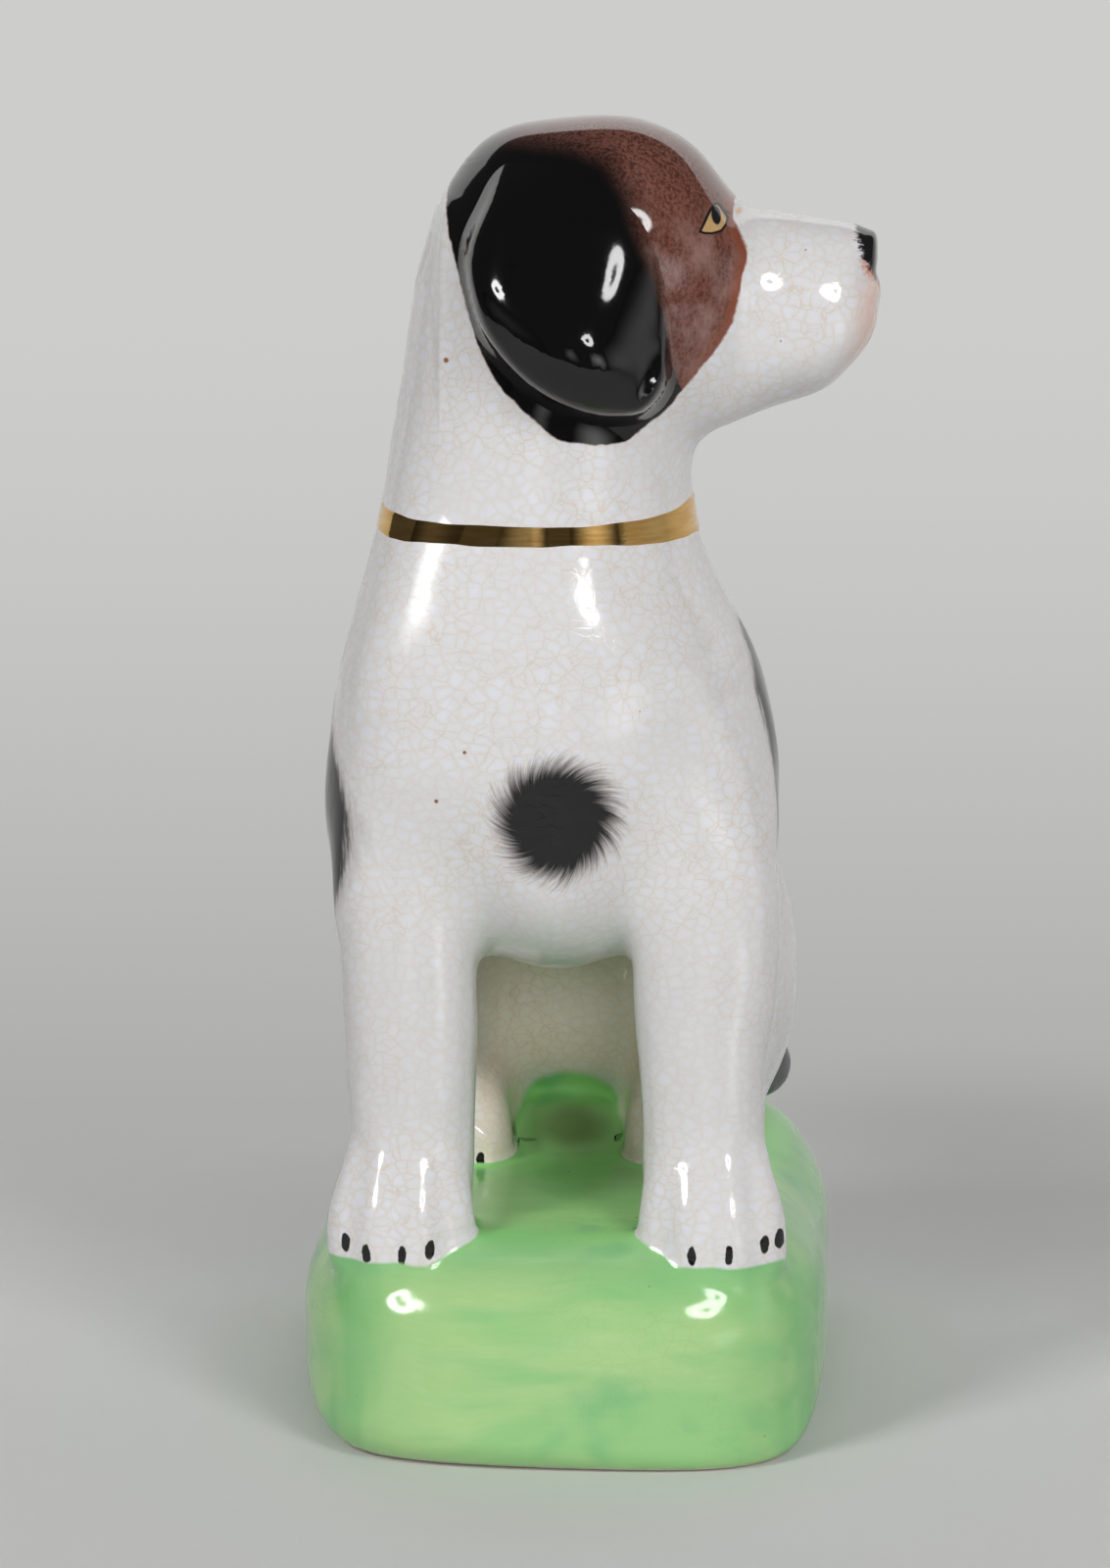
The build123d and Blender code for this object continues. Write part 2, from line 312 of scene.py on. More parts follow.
def chain(rows, x, y, z, count=60):
    """Round tapering body along a bent line."""
    rows = np.array(rows, float)
    s = np.concatenate([[0], np.cumsum(np.sqrt((np.diff(rows[:, :3], axis=0) ** 2).sum(1)))])
    q = np.linspace(0, s[-1], count)
    best = None
    for px, py, pz, r in np.stack([spline(s, rows[:, i])(q) for i in range(4)], 1):
        d = np.sqrt((x - px) ** 2 + (y - py) ** 2 + (z - pz) ** 2) - r
        best = d if best is None else np.minimum(best, d)
    return best


def plinth_field(x, y, z):
    """Cushion-like block: rounded plan, wide rounding on the top edge, smaller at the foot."""
    hw, hd, height, square, top, foot = PLINTH
    wob = 0.35 * np.sin(0.11 * x + 0.7) * np.sin(0.083 * y + 0.4) + 0.25 * np.sin(0.17 * y + 0.09 * z)
    back = np.clip((y + 5.0) / 40.0, 0, 1)
    height = height + 1.9 * back * back * (3 - 2 * back)
    px = np.abs(x + 0.7) / hw
    py = np.abs(y) / (hd - np.where(y < 0, 0.0030, 0.0) * x * x)
    g = np.maximum((px**square + py**square) ** (1 / square), 0.05)
    s = (g - 1) / np.sqrt(((px / g) ** (square - 1) / hw) ** 2 + ((py / g) ** (square - 1) / hd) ** 2 + 1e-9)
    s = s + wob * 0.6
    front = np.clip((-y - 18.0) / 24.0, 0, 1)
    edge = TOE[0] + (TOE[1] - TOE[0]) * np.clip(x / 40.0 + 0.5, 0, 1)
    foot = foot + (edge - foot) * front * front * (3 - 2 * front)
    top = top + 0.8 * smooth((-y - 24.0) / 14.0)
    r = np.where(z > height / 2, top, foot)
    u, v = s + r, np.abs(z - height / 2) - height / 2 + r
    return np.minimum(np.maximum(u, v), 0) + np.sqrt(np.maximum(u, 0) ** 2 + np.maximum(v, 0) ** 2) - r


tube = Tube(TUBE)


def grid(lo, hi, step):
    ax = [(l + step * np.arange(int(math.ceil((h - l) / step)) + 1)).astype(np.float32) for l, h in zip(lo, hi)]
    return ax[0][:, None, None], ax[1][None, :, None], ax[2][None, None, :]


# ------------------------------------------------------------------------------------------ meshing
def sample(f, p, lo, step):
    """The field at the points, linear between grid nodes."""
    q = (p - lo) / step
    i = np.clip(np.floor(q).astype(int), 0, np.array(f.shape) - 2)
    t = q - i
    out = 0
    for a in (0, 1):
        for b in (0, 1):
            for c in (0, 1):
                w = (t[:, 0] if a else 1 - t[:, 0]) * (t[:, 1] if b else 1 - t[:, 1]) * (t[:, 2] if c else 1 - t[:, 2])
                out = out + w * f[i[:, 0] + a, i[:, 1] + b, i[:, 2] + c]
    return out


def surface(f, lo, step):
    """Zero surface of the field: points, outward normals, triangles."""
    lo = np.array(lo, float)
    inside = f < 0
    n = np.array(f.shape)
    c = [inside[a : n[0] - 1 + a, b : n[1] - 1 + b, d : n[2] - 1 + d] for a in (0, 1) for b in (0, 1) for d in (0, 1)]
    total = sum(k.astype(np.int8) for k in c)
    active = (total > 0) & (total < 8)
    index = np.full(active.shape, -1, np.int64)
    cells = np.argwhere(active)
    index[active] = np.arange(len(cells))
    acc, cnt = np.zeros((len(cells), 3)), np.zeros(len(cells))
    for axis in range(3):
        o1, o2 = [k for k in range(3) if k != axis]
        for a in (0, 1):
            for b in (0, 1):
                p = cells.copy()
                p[:, o1] += a
                p[:, o2] += b
                q = p.copy()
                q[:, axis] += 1
                fa, fb = f[tuple(p.T)], f[tuple(q.T)]
                hit = (fa < 0) != (fb < 0)
                t = np.where(hit, fa / np.where(fa == fb, 1, fa - fb), 0)
                point = (p - cells).astype(float)
                point[:, axis] += t
                acc[hit] += point[hit]
                cnt += hit
    pts = lo + step * (cells + acc / cnt[:, None])
    quads = []
    for axis in range(3):
        o1, o2 = [(1, 2), (2, 0), (0, 1)][axis]
        sl = [slice(None)] * 3
        sl[axis] = slice(0, n[axis] - 1)
        s2 = [slice(None)] * 3
        s2[axis] = slice(1, n[axis])
        a, b = inside[tuple(sl)], inside[tuple(s2)]
        e = np.argwhere(a != b)
        e = e[(e[:, o1] > 0) & (e[:, o2] > 0) & (e[:, o1] < n[o1] - 1) & (e[:, o2] < n[o2] - 1)]
        flip = a[tuple(e.T)]
        corner = []
        for d1, d2 in ((-1, -1), (0, -1), (0, 0), (-1, 0)):
            k = e.copy()
            k[:, o1] += d1
            k[:, o2] += d2
            corner.append(index[tuple(k.T)])
        quad = np.stack(corner, 1)
        quad[~flip] = quad[~flip][:, ::-1]
        quads.append(quad)
    quads = np.concatenate(quads)
    g = np.gradient(f, step)
    for _ in range(3):
        d = sample(f, pts, lo, step)
        v = np.stack([sample(k, pts, lo, step) for k in g], 1)
        move = d[:, None] * v / np.maximum((v**2).sum(1), 0.05)[:, None]
        pts = pts - np.clip(move, -0.5 * step, 0.5 * step)
    v = np.stack([sample(k, pts, lo, step) for k in g], 1)
    nrm = v / np.maximum(np.linalg.norm(v, axis=1), 1e-9)[:, None]
    d1 = np.linalg.norm(pts[quads[:, 0]] - pts[quads[:, 2]], axis=1)
    d2 = np.linalg.norm(pts[quads[:, 1]] - pts[quads[:, 3]], axis=1)
    short = d1 <= d2
    tris = np.concatenate(
        [
            quads[short][:, [0, 1, 2]],
            quads[short][:, [0, 2, 3]],
            quads[~short][:, [0, 1, 3]],
            quads[~short][:, [1, 2, 3]],
        ]
    )
    return pts, nrm, tris


def lid_faces(points, ring):
    """Triangles that close a ring of points, facing away from the side the ring runs round."""
    loop = points[ring]
    turn = np.cross(loop, np.roll(loop, -1, axis=0)).sum(0)
    faces = []
    for a, b, c in tessellate_polygon([[Vector(v) for v in loop]]):
        if np.cross(loop[b] - loop[a], loop[c] - loop[a]) @ turn > 0:
            a, b = b, a
        faces.append((ring[a], ring[b], ring[c]))
    return faces


def cut(skin, s):
    """Splits a skin where the per-point value s crosses zero. Gives the negative and the positive side,
    each closed with a lid inside the clay. A skin is (points, normals, triangles, lid triangles)."""
    pts, nrm, tris, caps = skin
    s = np.where(np.abs(s) < 1e-3, 1e-3, s)
    neg = s < 0
    new, made_p, made_n = {}, [], []

    def on_edge(i, j):
        key = (i, j) if i < j else (j, i)
        if key not in new:
            t = s[key[0]] / (s[key[0]] - s[key[1]])
            new[key] = len(pts) + len(made_p)
            made_p.append(pts[key[0]] * (1 - t) + pts[key[1]] * t)
            m = nrm[key[0]] * (1 - t) + nrm[key[1]] * t
            made_n.append(m / max(np.linalg.norm(m), 1e-9))
        return new[key]

    whole, part = {}, {(side, lid): [] for side in (True, False) for lid in (True, False)}
    seams = {True: [], False: []}
    for lid, faces in ((False, tris), (True, caps)):
        count = neg[faces].sum(1)
        for side in (True, False):
            whole[side, lid] = faces[count == (3 if side else 0)]
        for tri in faces[(count > 0) & (count < 3)].tolist():
            k = next(i for i in range(3) if neg[tri[i]] != neg[tri[i - 1]] and neg[tri[i]] != neg[tri[i - 2]])
            a, b, c = tri[k], tri[(k + 1) % 3], tri[(k + 2) % 3]
            ab, ca = on_edge(a, b), on_edge(a, c)
            alone = bool(neg[a])
            part[alone, lid].append((a, ab, ca))
            part[not alone, lid] += [(ab, b, c), (ab, c, ca)]
            seams[alone].append((ab, ca))
            seams[not alone].append((ca, ab))
    all_p = np.vstack([pts] + ([np.array(made_p)] if made_p else []))
    all_n = np.vstack([nrm] + ([np.array(made_n)] if made_n else []))
    result = []
    for side in (True, False):
        t, lids = (np.vstack([whole[side, lid], np.array(part[side, lid], int).reshape(-1, 3)]) for lid in (False, True))
        after = dict(seams[side])
        left = set(after)
        closing = []
        while left:
            start = min(left)
            ring, k = [], start
            while k in left:
                left.discard(k)
                ring.append(k)
                k = after[k]
            if len(ring) >= 3:
                closing += lid_faces(all_p, ring)
        lids = np.vstack([lids, np.array(closing, int).reshape(-1, 3)])
        used = np.unique(np.concatenate([t.ravel(), lids.ravel()]))
        remap = np.full(len(all_p), -1)
        remap[used] = np.arange(len(used))
        result.append((all_p[used], all_n[used], remap[t], remap[lids]))
    return result


def largest(skin, keep=0.02):
    """The skin without loose crumbs under a share of its points."""
    pts, nrm, tris, caps = skin
    every = np.vstack([tris, caps]) if len(caps) else tris
    label = np.arange(len(pts))
    while True:
        low = np.minimum.reduce([label[every[:, 0]], label[every[:, 1]], label[every[:, 2]]])
        fresh = label.copy()
        for i in range(3):
            np.minimum.at(fresh, every[:, i], low)
        fresh = fresh[fresh]
        if (fresh == label).all():
            break
        label = fresh
    ids, n = np.unique(label, return_counts=True)
    good = np.isin(label, ids[n >= keep * len(pts)])
    remap = np.cumsum(good) - 1
    t, c = tris[good[tris].all(1)], caps[good[caps].all(1)] if len(caps) else caps
    return pts[good], nrm[good], remap[t], remap[c] if len(caps) else caps


def make(name, skin, material, nodes=(), slot=None, **values):
    """A piece of the figure from a skin, with per-point values for its material."""
    pts, nrm, tris, caps = skin
    faces = np.vstack([tris, caps]).astype(np.int32) if len(caps) else tris.astype(np.int32)
    me = bpy.data.meshes.new(name)
    me.vertices.add(len(pts))
    me.vertices.foreach_set("co", (pts * MM).astype(np.float32).ravel())
    me.loops.add(faces.size)
    me.loops.foreach_set("vertex_index", faces.ravel())
    me.polygons.add(len(faces))
    me.polygons.foreach_set("loop_start", np.arange(0, faces.size, 3, dtype=np.int32))
    me.polygons.foreach_set("loop_total", np.full(len(faces), 3, np.int32))
    me.polygons.foreach_set("use_smooth", np.ones(len(faces), bool))
    me.update(calc_edges=True)
    me.validate()
    per_corner = nrm[faces.ravel()].copy()
    if len(caps):
        p = pts[caps]
        flat = np.cross(p[:, 1] - p[:, 0], p[:, 2] - p[:, 0])
        flat /= np.maximum(np.linalg.norm(flat, axis=1), 1e-9)[:, None]
        per_corner[tris.size :] = np.repeat(flat, 3, axis=0)
    me.normals_split_custom_set(per_corner.tolist())
    for key, v in values.items():
        me.attributes.new(key, "FLOAT", "POINT").data.foreach_set("value", np.asarray(v, np.float32))
    me.materials.append(material)
    ob = bpy.data.objects.new(name, me)
    bpy.context.scene.collection.objects.link(ob)
    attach(ob, "root")
    if nodes:
        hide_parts(*nodes)
    return ob


# ------------------------------------------------------------------------------------------ body field
STEP = 0.65
LO, HI = (-37.0, -52.0, -4.0), (37.0, 52.0, 121.0)
gx, gy, gz = grid(LO, HI, STEP)
body = as_distance(tube.field(gx, gy, gz), STEP)
for side in (-1, 1):
    dx, hy, hz, rx, ry, rz, lean = HAUNCH
    body = smin(body, as_distance(ball(gx, gy, gz, (DOG_X + side * dx, hy, hz), (rx, ry, rz), lean), STEP), 5.0)
for rows in (LEG_RIGHT, LEG_LEFT):
    leg = as_distance(column(rows, gx, gy, gz), STEP)
    body = smin(body, leg, 7.0)
body = smin(body, as_distance(ball(gx, gy, gz, *KEEL), STEP), 4.0)
# forepaws: four long low toes down the front of each
for cx in (-20.7, 18.3):
    for dx, dy in ((-6.2, 2.7), (-2.2, 0.1), (2.1, 0.0), (6.2, 2.5)):
        toe = [
            (cx + dx, -39.7 + dy, 25.5, 3.0),
            (cx + dx * 0.98, -39.6 + dy, 28.8, 3.1),
            (cx + dx * 0.90, -38.1 + dy * 0.9, 33.0, 2.8),
            (cx + dx * 0.76, -36.0 + dy * 0.8, 37.5, 2.1),
        ]
        body = smin(body, chain(toe, gx, gy, gz, 24), 1.5)
# the space under the belly, with a low mound of clay at the foot of its back wall
ax, half, front, wall, roof, r = ARCH
u, v = gy - wall + r, gz - roof + r
bay = np.minimum(np.maximum(u, v), 0) + np.sqrt(np.maximum(u, 0) ** 2 + np.maximum(v, 0) ** 2) - r
bay = smax(smax(bay, np.abs(gx - ax) - half, 9.0), front - gy, 6.0)
body = smax(body, -bay, 4.0)
body = smin(body, ball(gx, gy, gz, (-2.2, 15.5, 27.0), (9.5, 7.5, 6.0)), 4.0)
for cx in FOOT_X:
    rows = np.array(FOOT)[::-1]
    yy = gy[0, :, 0]
    cz, a, b = (spline(rows[:, 0], rows[:, i])(yy)[None, :, None] for i in (1, 2, 3))
    f = ((np.abs((gx - cx) / a) ** 2.4 + np.abs((gz - cz) / b) ** 2.4) ** (1 / 2.4) - 1) * np.minimum(a, b)
    f = np.maximum(f, np.maximum(rows[0, 0] - gy, gy - rows[-1, 0]))
    foot = as_distance(f, STEP)
    for dx, dy in ((-5.4, 1.4), (-1.9, 0.0), (1.9, 0.0), (5.4, 1.4)):
        foot = smin(foot, ball(gx, gy, gz, (cx + dx, 1.2 + dy, 29.6), (2.3, 4.6, 4.6)), 1.8)
    body = smin(body, foot, 4.0)
body = smin(body, chain(TAIL, gx, gy, gz), 1.5)
body += 0.10 * np.sin(0.31 * gx + 0.9) * np.sin(0.27 * gz + 0.2 * gy) + 0.07 * np.sin(0.52 * gy + 0.33 * gz + 1.7)
plinth_d = plinth_field(gx, gy, gz)
whole = smin(body, plinth_d, 1.3 + 0.5 * smooth((-gy - 28.0) / 8.0) + 3.5 * np.exp(-(((gx + 2.0) / 7.0) ** 2) - ((gy - 9.0) / 8.0) ** 2))
pocket_x, pocket_y = np.abs(gx) - 19.0 + 8.0, np.abs(gy) - 34.0 + 8.0
pocket = (
    np.minimum(np.maximum(pocket_x, pocket_y), 0)
    + np.sqrt(np.maximum(pocket_x, 0) ** 2 + np.maximum(pocket_y, 0) ** 2)
    - 8.0
)
whole = np.maximum(whole, -np.maximum(pocket, gz - 20.0))
pts, nrm, tris = surface(whole.astype(np.float32), LO, STEP)
skin = (pts, nrm, tris, np.zeros((0, 3), int))
skin, _ = cut(skin, skin[0][:, 2] - NECK_CUT)
plinth_skin, dog = cut(skin, plinth_field(*skin[0].T) - 0.55)

# ------------------------------------------------------------------------------------------ head field
HSTEP = 0.4
HLO, HHI = (-28.0, -45.0, 108.0), (42.0, 15.0, 170.0)
hx, hy, hz = grid(HLO, HHI, HSTEP)
rows = np.array(HEAD)
top, low, wide, mid, sq = (spline(rows[:, 0], rows[:, i])(hx) for i in range(1, 6))
tall = np.where(hz > mid, top - mid, mid - low)
f = ((np.abs((hy - HEAD_Y) / wide) ** sq + np.abs((hz - mid) / tall) ** sq) ** (1 / sq) - 1) * np.minimum(wide, tall)
f = smax(f, np.maximum(rows[0, 0] - hx, hx - rows[-1, 0]), 1.2)
skull = as_distance(f, HSTEP)
neck = as_distance(tube.field(hx, hy, hz), HSTEP)
head = smin(skull, neck, 5.0)
# the nose stands a little proud, with a dip under it
head -= 0.45 * np.exp(-(((hx - 36.6) / 2.4) ** 2) - ((hz - 151.3) / 1.6) ** 2)
head += 0.50 * np.exp(-(((hz - 146.9) / 1.2) ** 2)) * smooth((hx - 35.3) / 2.2)
head += 0.06 * np.sin(0.31 * hx + 0.9) * np.sin(0.27 * hz + 0.2 * hy)
pts, nrm, tris = surface(head.astype(np.float32), HLO, HSTEP)
_, head_skin = cut((pts, nrm, tris, np.zeros((0, 3), int)), pts[:, 2] - NECK_CUT)

# drop ears: a flap laid on the head, grown from it along the root, with a rolled rim, a sloping edge and two folds
ear_curve = closed_curve(EAR)
ux, uz = hx[:, 0, 0][:, None], hz[0, 0, :][None, :]
rim = outline_distance(ux, uz, ear_curve)
EAR_SLOPE = 2.2


def blur(f, width, passes=3):
    """Running mean along both directions, repeated."""
    for _ in range(passes):
        for axis in (0, 1):
            pad = [(0, 0), (0, 0)]
            pad[axis] = (width // 2 + 1, width // 2)
            c = np.cumsum(np.pad(f, pad, mode="edge"), axis=axis)
            f = (np.take(c, np.arange(width, c.shape[axis]), axis) - np.take(c, np.arange(c.shape[axis] - width), axis)) / width
    return f


root = smooth((-0.30 * (ux + 8.0) - 0.954 * (uz - 163.0)) / 8.0)
deep = np.maximum(-rim, 0)
# the flap hangs away from the head: a plump roll along the rear and lower rim, falling towards the fold in front
hang = spline(*zip(*EAR_HANG))(uz) + 0 * ux
lip = 1.5 + 0.25 * hang
bend = 3.4 + 4.6 * smooth((147.0 - uz) / 10.0)
roll = lip + (1.2 + 0.75 * hang) * np.sqrt(np.maximum(1 - (1 - np.clip(deep / bend, 0, 1)) ** 2, 0))
roll = roll - (1.9 + 0.60 * hang) * smooth((deep - bend) / 9.0)
soft = smooth((deep - 2.2) / 3.0)
roll = roll * (1 - soft) + blur(roll, 9) * soft
flap = np.where(rim < 0, roll, lip * np.clip(1 - rim / EAR_SLOPE, 0, 1) ** 1.6)
# the front edge lies flat on the cheek, except near the tip
ahead = -0.954 * (ux - 6.0) - 0.30 * (uz - 160.0)
tip = smooth((140.0 - uz) / 7.0)
lie = smooth((ahead + 2.5) / 4.5) * (0.42 + 0.58 * smooth((ahead - 3.0) / 6.0))
flap = flap * root * (lie + (1 - lie) * tip) - 0.25 - 0.35 * np.clip((rim + 0.4) / EAR_SLOPE, 0, 1)


def valley(points, left, right, depth):
    """A groove along a line of points, with its own width on each side."""
    p = np.array(points, float)
    d = np.full(np.broadcast(ux, uz).shape, 1e9)
    side = np.zeros_like(d)
    for a, b in zip(p[:-1], p[1:]):
        t = np.clip(((ux - a[0]) * (b - a)[0] + (uz - a[1]) * (b - a)[1]) / ((b - a) ** 2).sum(), 0, 1)
        e = np.hypot(ux - a[0] - t * (b - a)[0], uz - a[1] - t * (b - a)[1])
        turn = (ux - a[0]) * (b - a)[1] - (uz - a[1]) * (b - a)[0]
        side = np.where(e < d, turn, side)
        d = np.minimum(d, e)
    w = np.where(side < 0, right, left)
    return -depth * np.exp(-((d / w) ** 2))


flap = flap + valley(
    [(2.9, 155.0), (3.8, 151.2), (4.9, 147.7), (6.2, 143.4), (7.8, 138.8), (9.8, 134.6)], 2.4, 2.0 + 0.6 * smooth((153.0 - uz) / 16.0), 0.5
)
flap = flap + 0.50 * np.exp(-(((ux + 4.0) / 5.5) ** 2) - ((uz - 145.0) / 5.5) ** 2)
flap = flap + 1.00 * np.exp(-(((ux - 7.5) / 6.0) ** 2) - ((uz - 146.5) / 5.5) ** 2) * smooth((deep - 0.8) / 3.0)
calm = smooth((deep - 1.0) / 2.0)
flap = flap * (1 - calm) + blur(flap, 9, 3) * calm
calm = smooth((deep - 0.6) / 2.4) * smooth((8.0 - ahead) / 4.0)
flap = flap * (1 - calm) + blur(flap, 11, 3) * calm
ear = smax(head - flap[:, None, :], rim[:, None, :] - EAR_SLOPE, 0.8)
ear = np.maximum(ear, -(head + 1.6))


def evened(skin, weight, rounds=50):
    """The skin with its normals drawn towards their neighbours', by a weight for each point."""
    pts, nrm, tris, caps = skin
    e = np.vstack([tris[:, [0, 1]], tris[:, [1, 2]], tris[:, [2, 0]]])
    a, b = np.concatenate([e[:, 0], e[:, 1]]), np.concatenate([e[:, 1], e[:, 0]])
    count = np.maximum(np.bincount(a, minlength=len(pts)), 1)[:, None]
    for _ in range(rounds):
        mean = np.stack([np.bincount(a, nrm[b, i], len(pts)) for i in range(3)], 1) / count
        nrm = nrm + (mean - nrm) * weight[:, None]
        nrm = nrm / np.maximum(np.linalg.norm(nrm, axis=1), 1e-9)[:, None]
    return pts, nrm, tris, caps


ears = {}
for name, side in (("ear_right", -1), ("ear_left", 1)):
    half = np.maximum(ear, -side * (hy - HEAD_Y) + 3.0)
    flap_skin = largest(surface(half.astype(np.float32), HLO, HSTEP) + (np.zeros((0, 3), int),), 0.2)
    ears[name] = evened(flap_skin, smooth((-outline_distance(flap_skin[0][:, 0], flap_skin[0][:, 2], ear_curve) - 1.2) / 2.0))

# ------------------------------------------------------------------------------------------ painted outlines
PAINT = [
    (-9.5, 168.0), (-11.4, 164.8), (-13.2, 162.6), (-14.7, 160.0), (-15.5, 157.3), (-15.4, 154.0), (-14.7, 150.6),
    (-13.3, 146.0), (-11.7, 140.3), (-9.2, 134.9), (-7.2, 132.3), (-4.2, 129.6), (-1.1, 127.3), (2.5, 126.6), (7.3, 127.0), (9.1, 128.4), (11.5, 130.2), (13.6, 132.6), (15.0, 134.2),
    (16.8, 136.4), (18.6, 138.8), (20.4, 142.5), (21.3, 147.3), (21.8, 149.9), (20.9, 152.1), (20.0, 154.5), (20.3, 156.3),
    (22.0, 160.0), (24.0, 172.0), (5.0, 178.0), (-5.0, 172.0),
]
BLACK = [
    (-19.0, 165.0), (-8.0, 164.2), (0.0, 163.5), (5.0, 161.6), (7.6, 157.6), (9.3, 152.2), (11.0, 146.6), (12.0, 141.5),
    (12.6, 137.0), (13.4, 134.0), (14.6, 131.6), (12.0, 124.0), (0.0, 120.0), (-14.0, 126.0), (-22.0, 140.0), (-23.0, 158.0),
]
paint_curve, black_curve = closed_curve(PAINT, 220), np.array(BLACK)


def head_values(skin):
    p = skin[0]
    return {
        "paint_d": outline_distance(p[:, 0], p[:, 2], paint_curve),
        "black_d": outline_distance(p[:, 0], p[:, 2], black_curve),
    }


# ------------------------------------------------------------------------------------------ materials
class Paint:
    """Node graph of one material, with its place on the figure in millimetres."""

    def __init__(self, name):
        self.mat = bpy.data.materials.new(name)
        self.mat.use_nodes = True
        self.nt = self.mat.node_tree
        self.nt.nodes.clear()
        out = self.new("ShaderNodeOutputMaterial")
        self.bsdf = self.new("ShaderNodeBsdfPrincipled")
        self.nt.links.new(self.bsdf.outputs[0], out.inputs[0])
        place = self.new("ShaderNodeTexCoord").outputs["Object"]
        self.p = self.vec("MULTIPLY", place, (1000.0, 1000.0, 1000.0))
        split = self.new("ShaderNodeSeparateXYZ")
        self.nt.links.new(self.p, split.inputs[0])
        self.x, self.y, self.z = split.outputs

    def new(self, kind):
        return self.nt.nodes.new(kind)

    def put(self, socket, value):
        if isinstance(value, bpy.types.NodeSocket):
            self.nt.links.new(value, socket)
        else:
            socket.default_value = value

    def math(self, op, a, b=None, c=None, clamp=False):
        n = self.new("ShaderNodeMath")
        n.operation, n.use_clamp = op, clamp
        for i, v in enumerate((a, b, c)):
            if v is not None:
                self.put(n.inputs[i], v)
        return n.outputs[0]

    def vec(self, op, a, b=None, scale=None):
        n = self.new("ShaderNodeVectorMath")
        n.operation = op
        self.put(n.inputs[0], a)
        if b is not None:
            self.put(n.inputs[1], b)
        if scale is not None:
            self.put(n.inputs["Scale"], scale)
        return n.outputs["Value"] if op in ("LENGTH", "DISTANCE", "DOT_PRODUCT") else n.outputs["Vector"]

    def xyz(self, x, y, z):
        n = self.new("ShaderNodeCombineXYZ")
        for i, v in enumerate((x, y, z)):
            self.put(n.inputs[i], v)
        return n.outputs[0]

    def noise(self, p, scale, detail=2.0, rough=0.5, colour=False, distortion=0.0):
        n = self.new("ShaderNodeTexNoise")
        self.put(n.inputs["Vector"], p)
        n.inputs["Scale"].default_value = scale
        n.inputs["Detail"].default_value = detail
        n.inputs["Roughness"].default_value = rough
        n.inputs["Distortion"].default_value = distortion
        return n.outputs["Color" if colour else "Fac"]

    def cells(self, p, scale, feature="DISTANCE_TO_EDGE", spread=1.0):
        n = self.new("ShaderNodeTexVoronoi")
        n.feature = feature
        self.put(n.inputs["Vector"], p)
        n.inputs["Scale"].default_value = scale
        n.inputs["Randomness"].default_value = spread
        return n.outputs["Color" if feature == "F1_COLOR" else "Distance"]

    def step(self, v, lo, hi, a=0.0, b=1.0):
        """Smooth change from a to b as v goes from lo to hi."""
        n = self.new("ShaderNodeMapRange")
        n.interpolation_type = "SMOOTHSTEP"
        self.put(n.inputs[0], v)
        for i, k in enumerate((lo, hi, a, b)):
            self.put(n.inputs[i + 1], k)
        return n.outputs[0]

    def mix(self, fac, a, b, blend="MIX"):
        n = self.new("ShaderNodeMix")
        n.data_type, n.blend_type = "RGBA", blend
        self.put(n.inputs[0], fac)
        for i, v in ((6, a), (7, b)):
            self.put(n.inputs[i], v if isinstance(v, bpy.types.NodeSocket) else (*v, 1.0))
        return n.outputs[2]

    def attr(self, name):
        n = self.new("ShaderNodeAttribute")
        n.attribute_name = name
        return n.outputs["Fac"]

    def bump(self, height, strength, distance):
        n = self.new("ShaderNodeBump")
        self.put(n.inputs["Height"], height)
        n.inputs["Strength"].default_value = strength
        n.inputs["Distance"].default_value = distance
        return n.outputs["Normal"]

    def finish(self, **inputs):
        for k, v in inputs.items():
            socket = self.bsdf.inputs[k.replace("_", " ").title().replace("Ior", "IOR")]
            if isinstance(v, tuple) and len(v) == 3 and socket.type == "RGBA":
                v = (*v, 1.0)
            self.put(socket, v)
        return self.mat


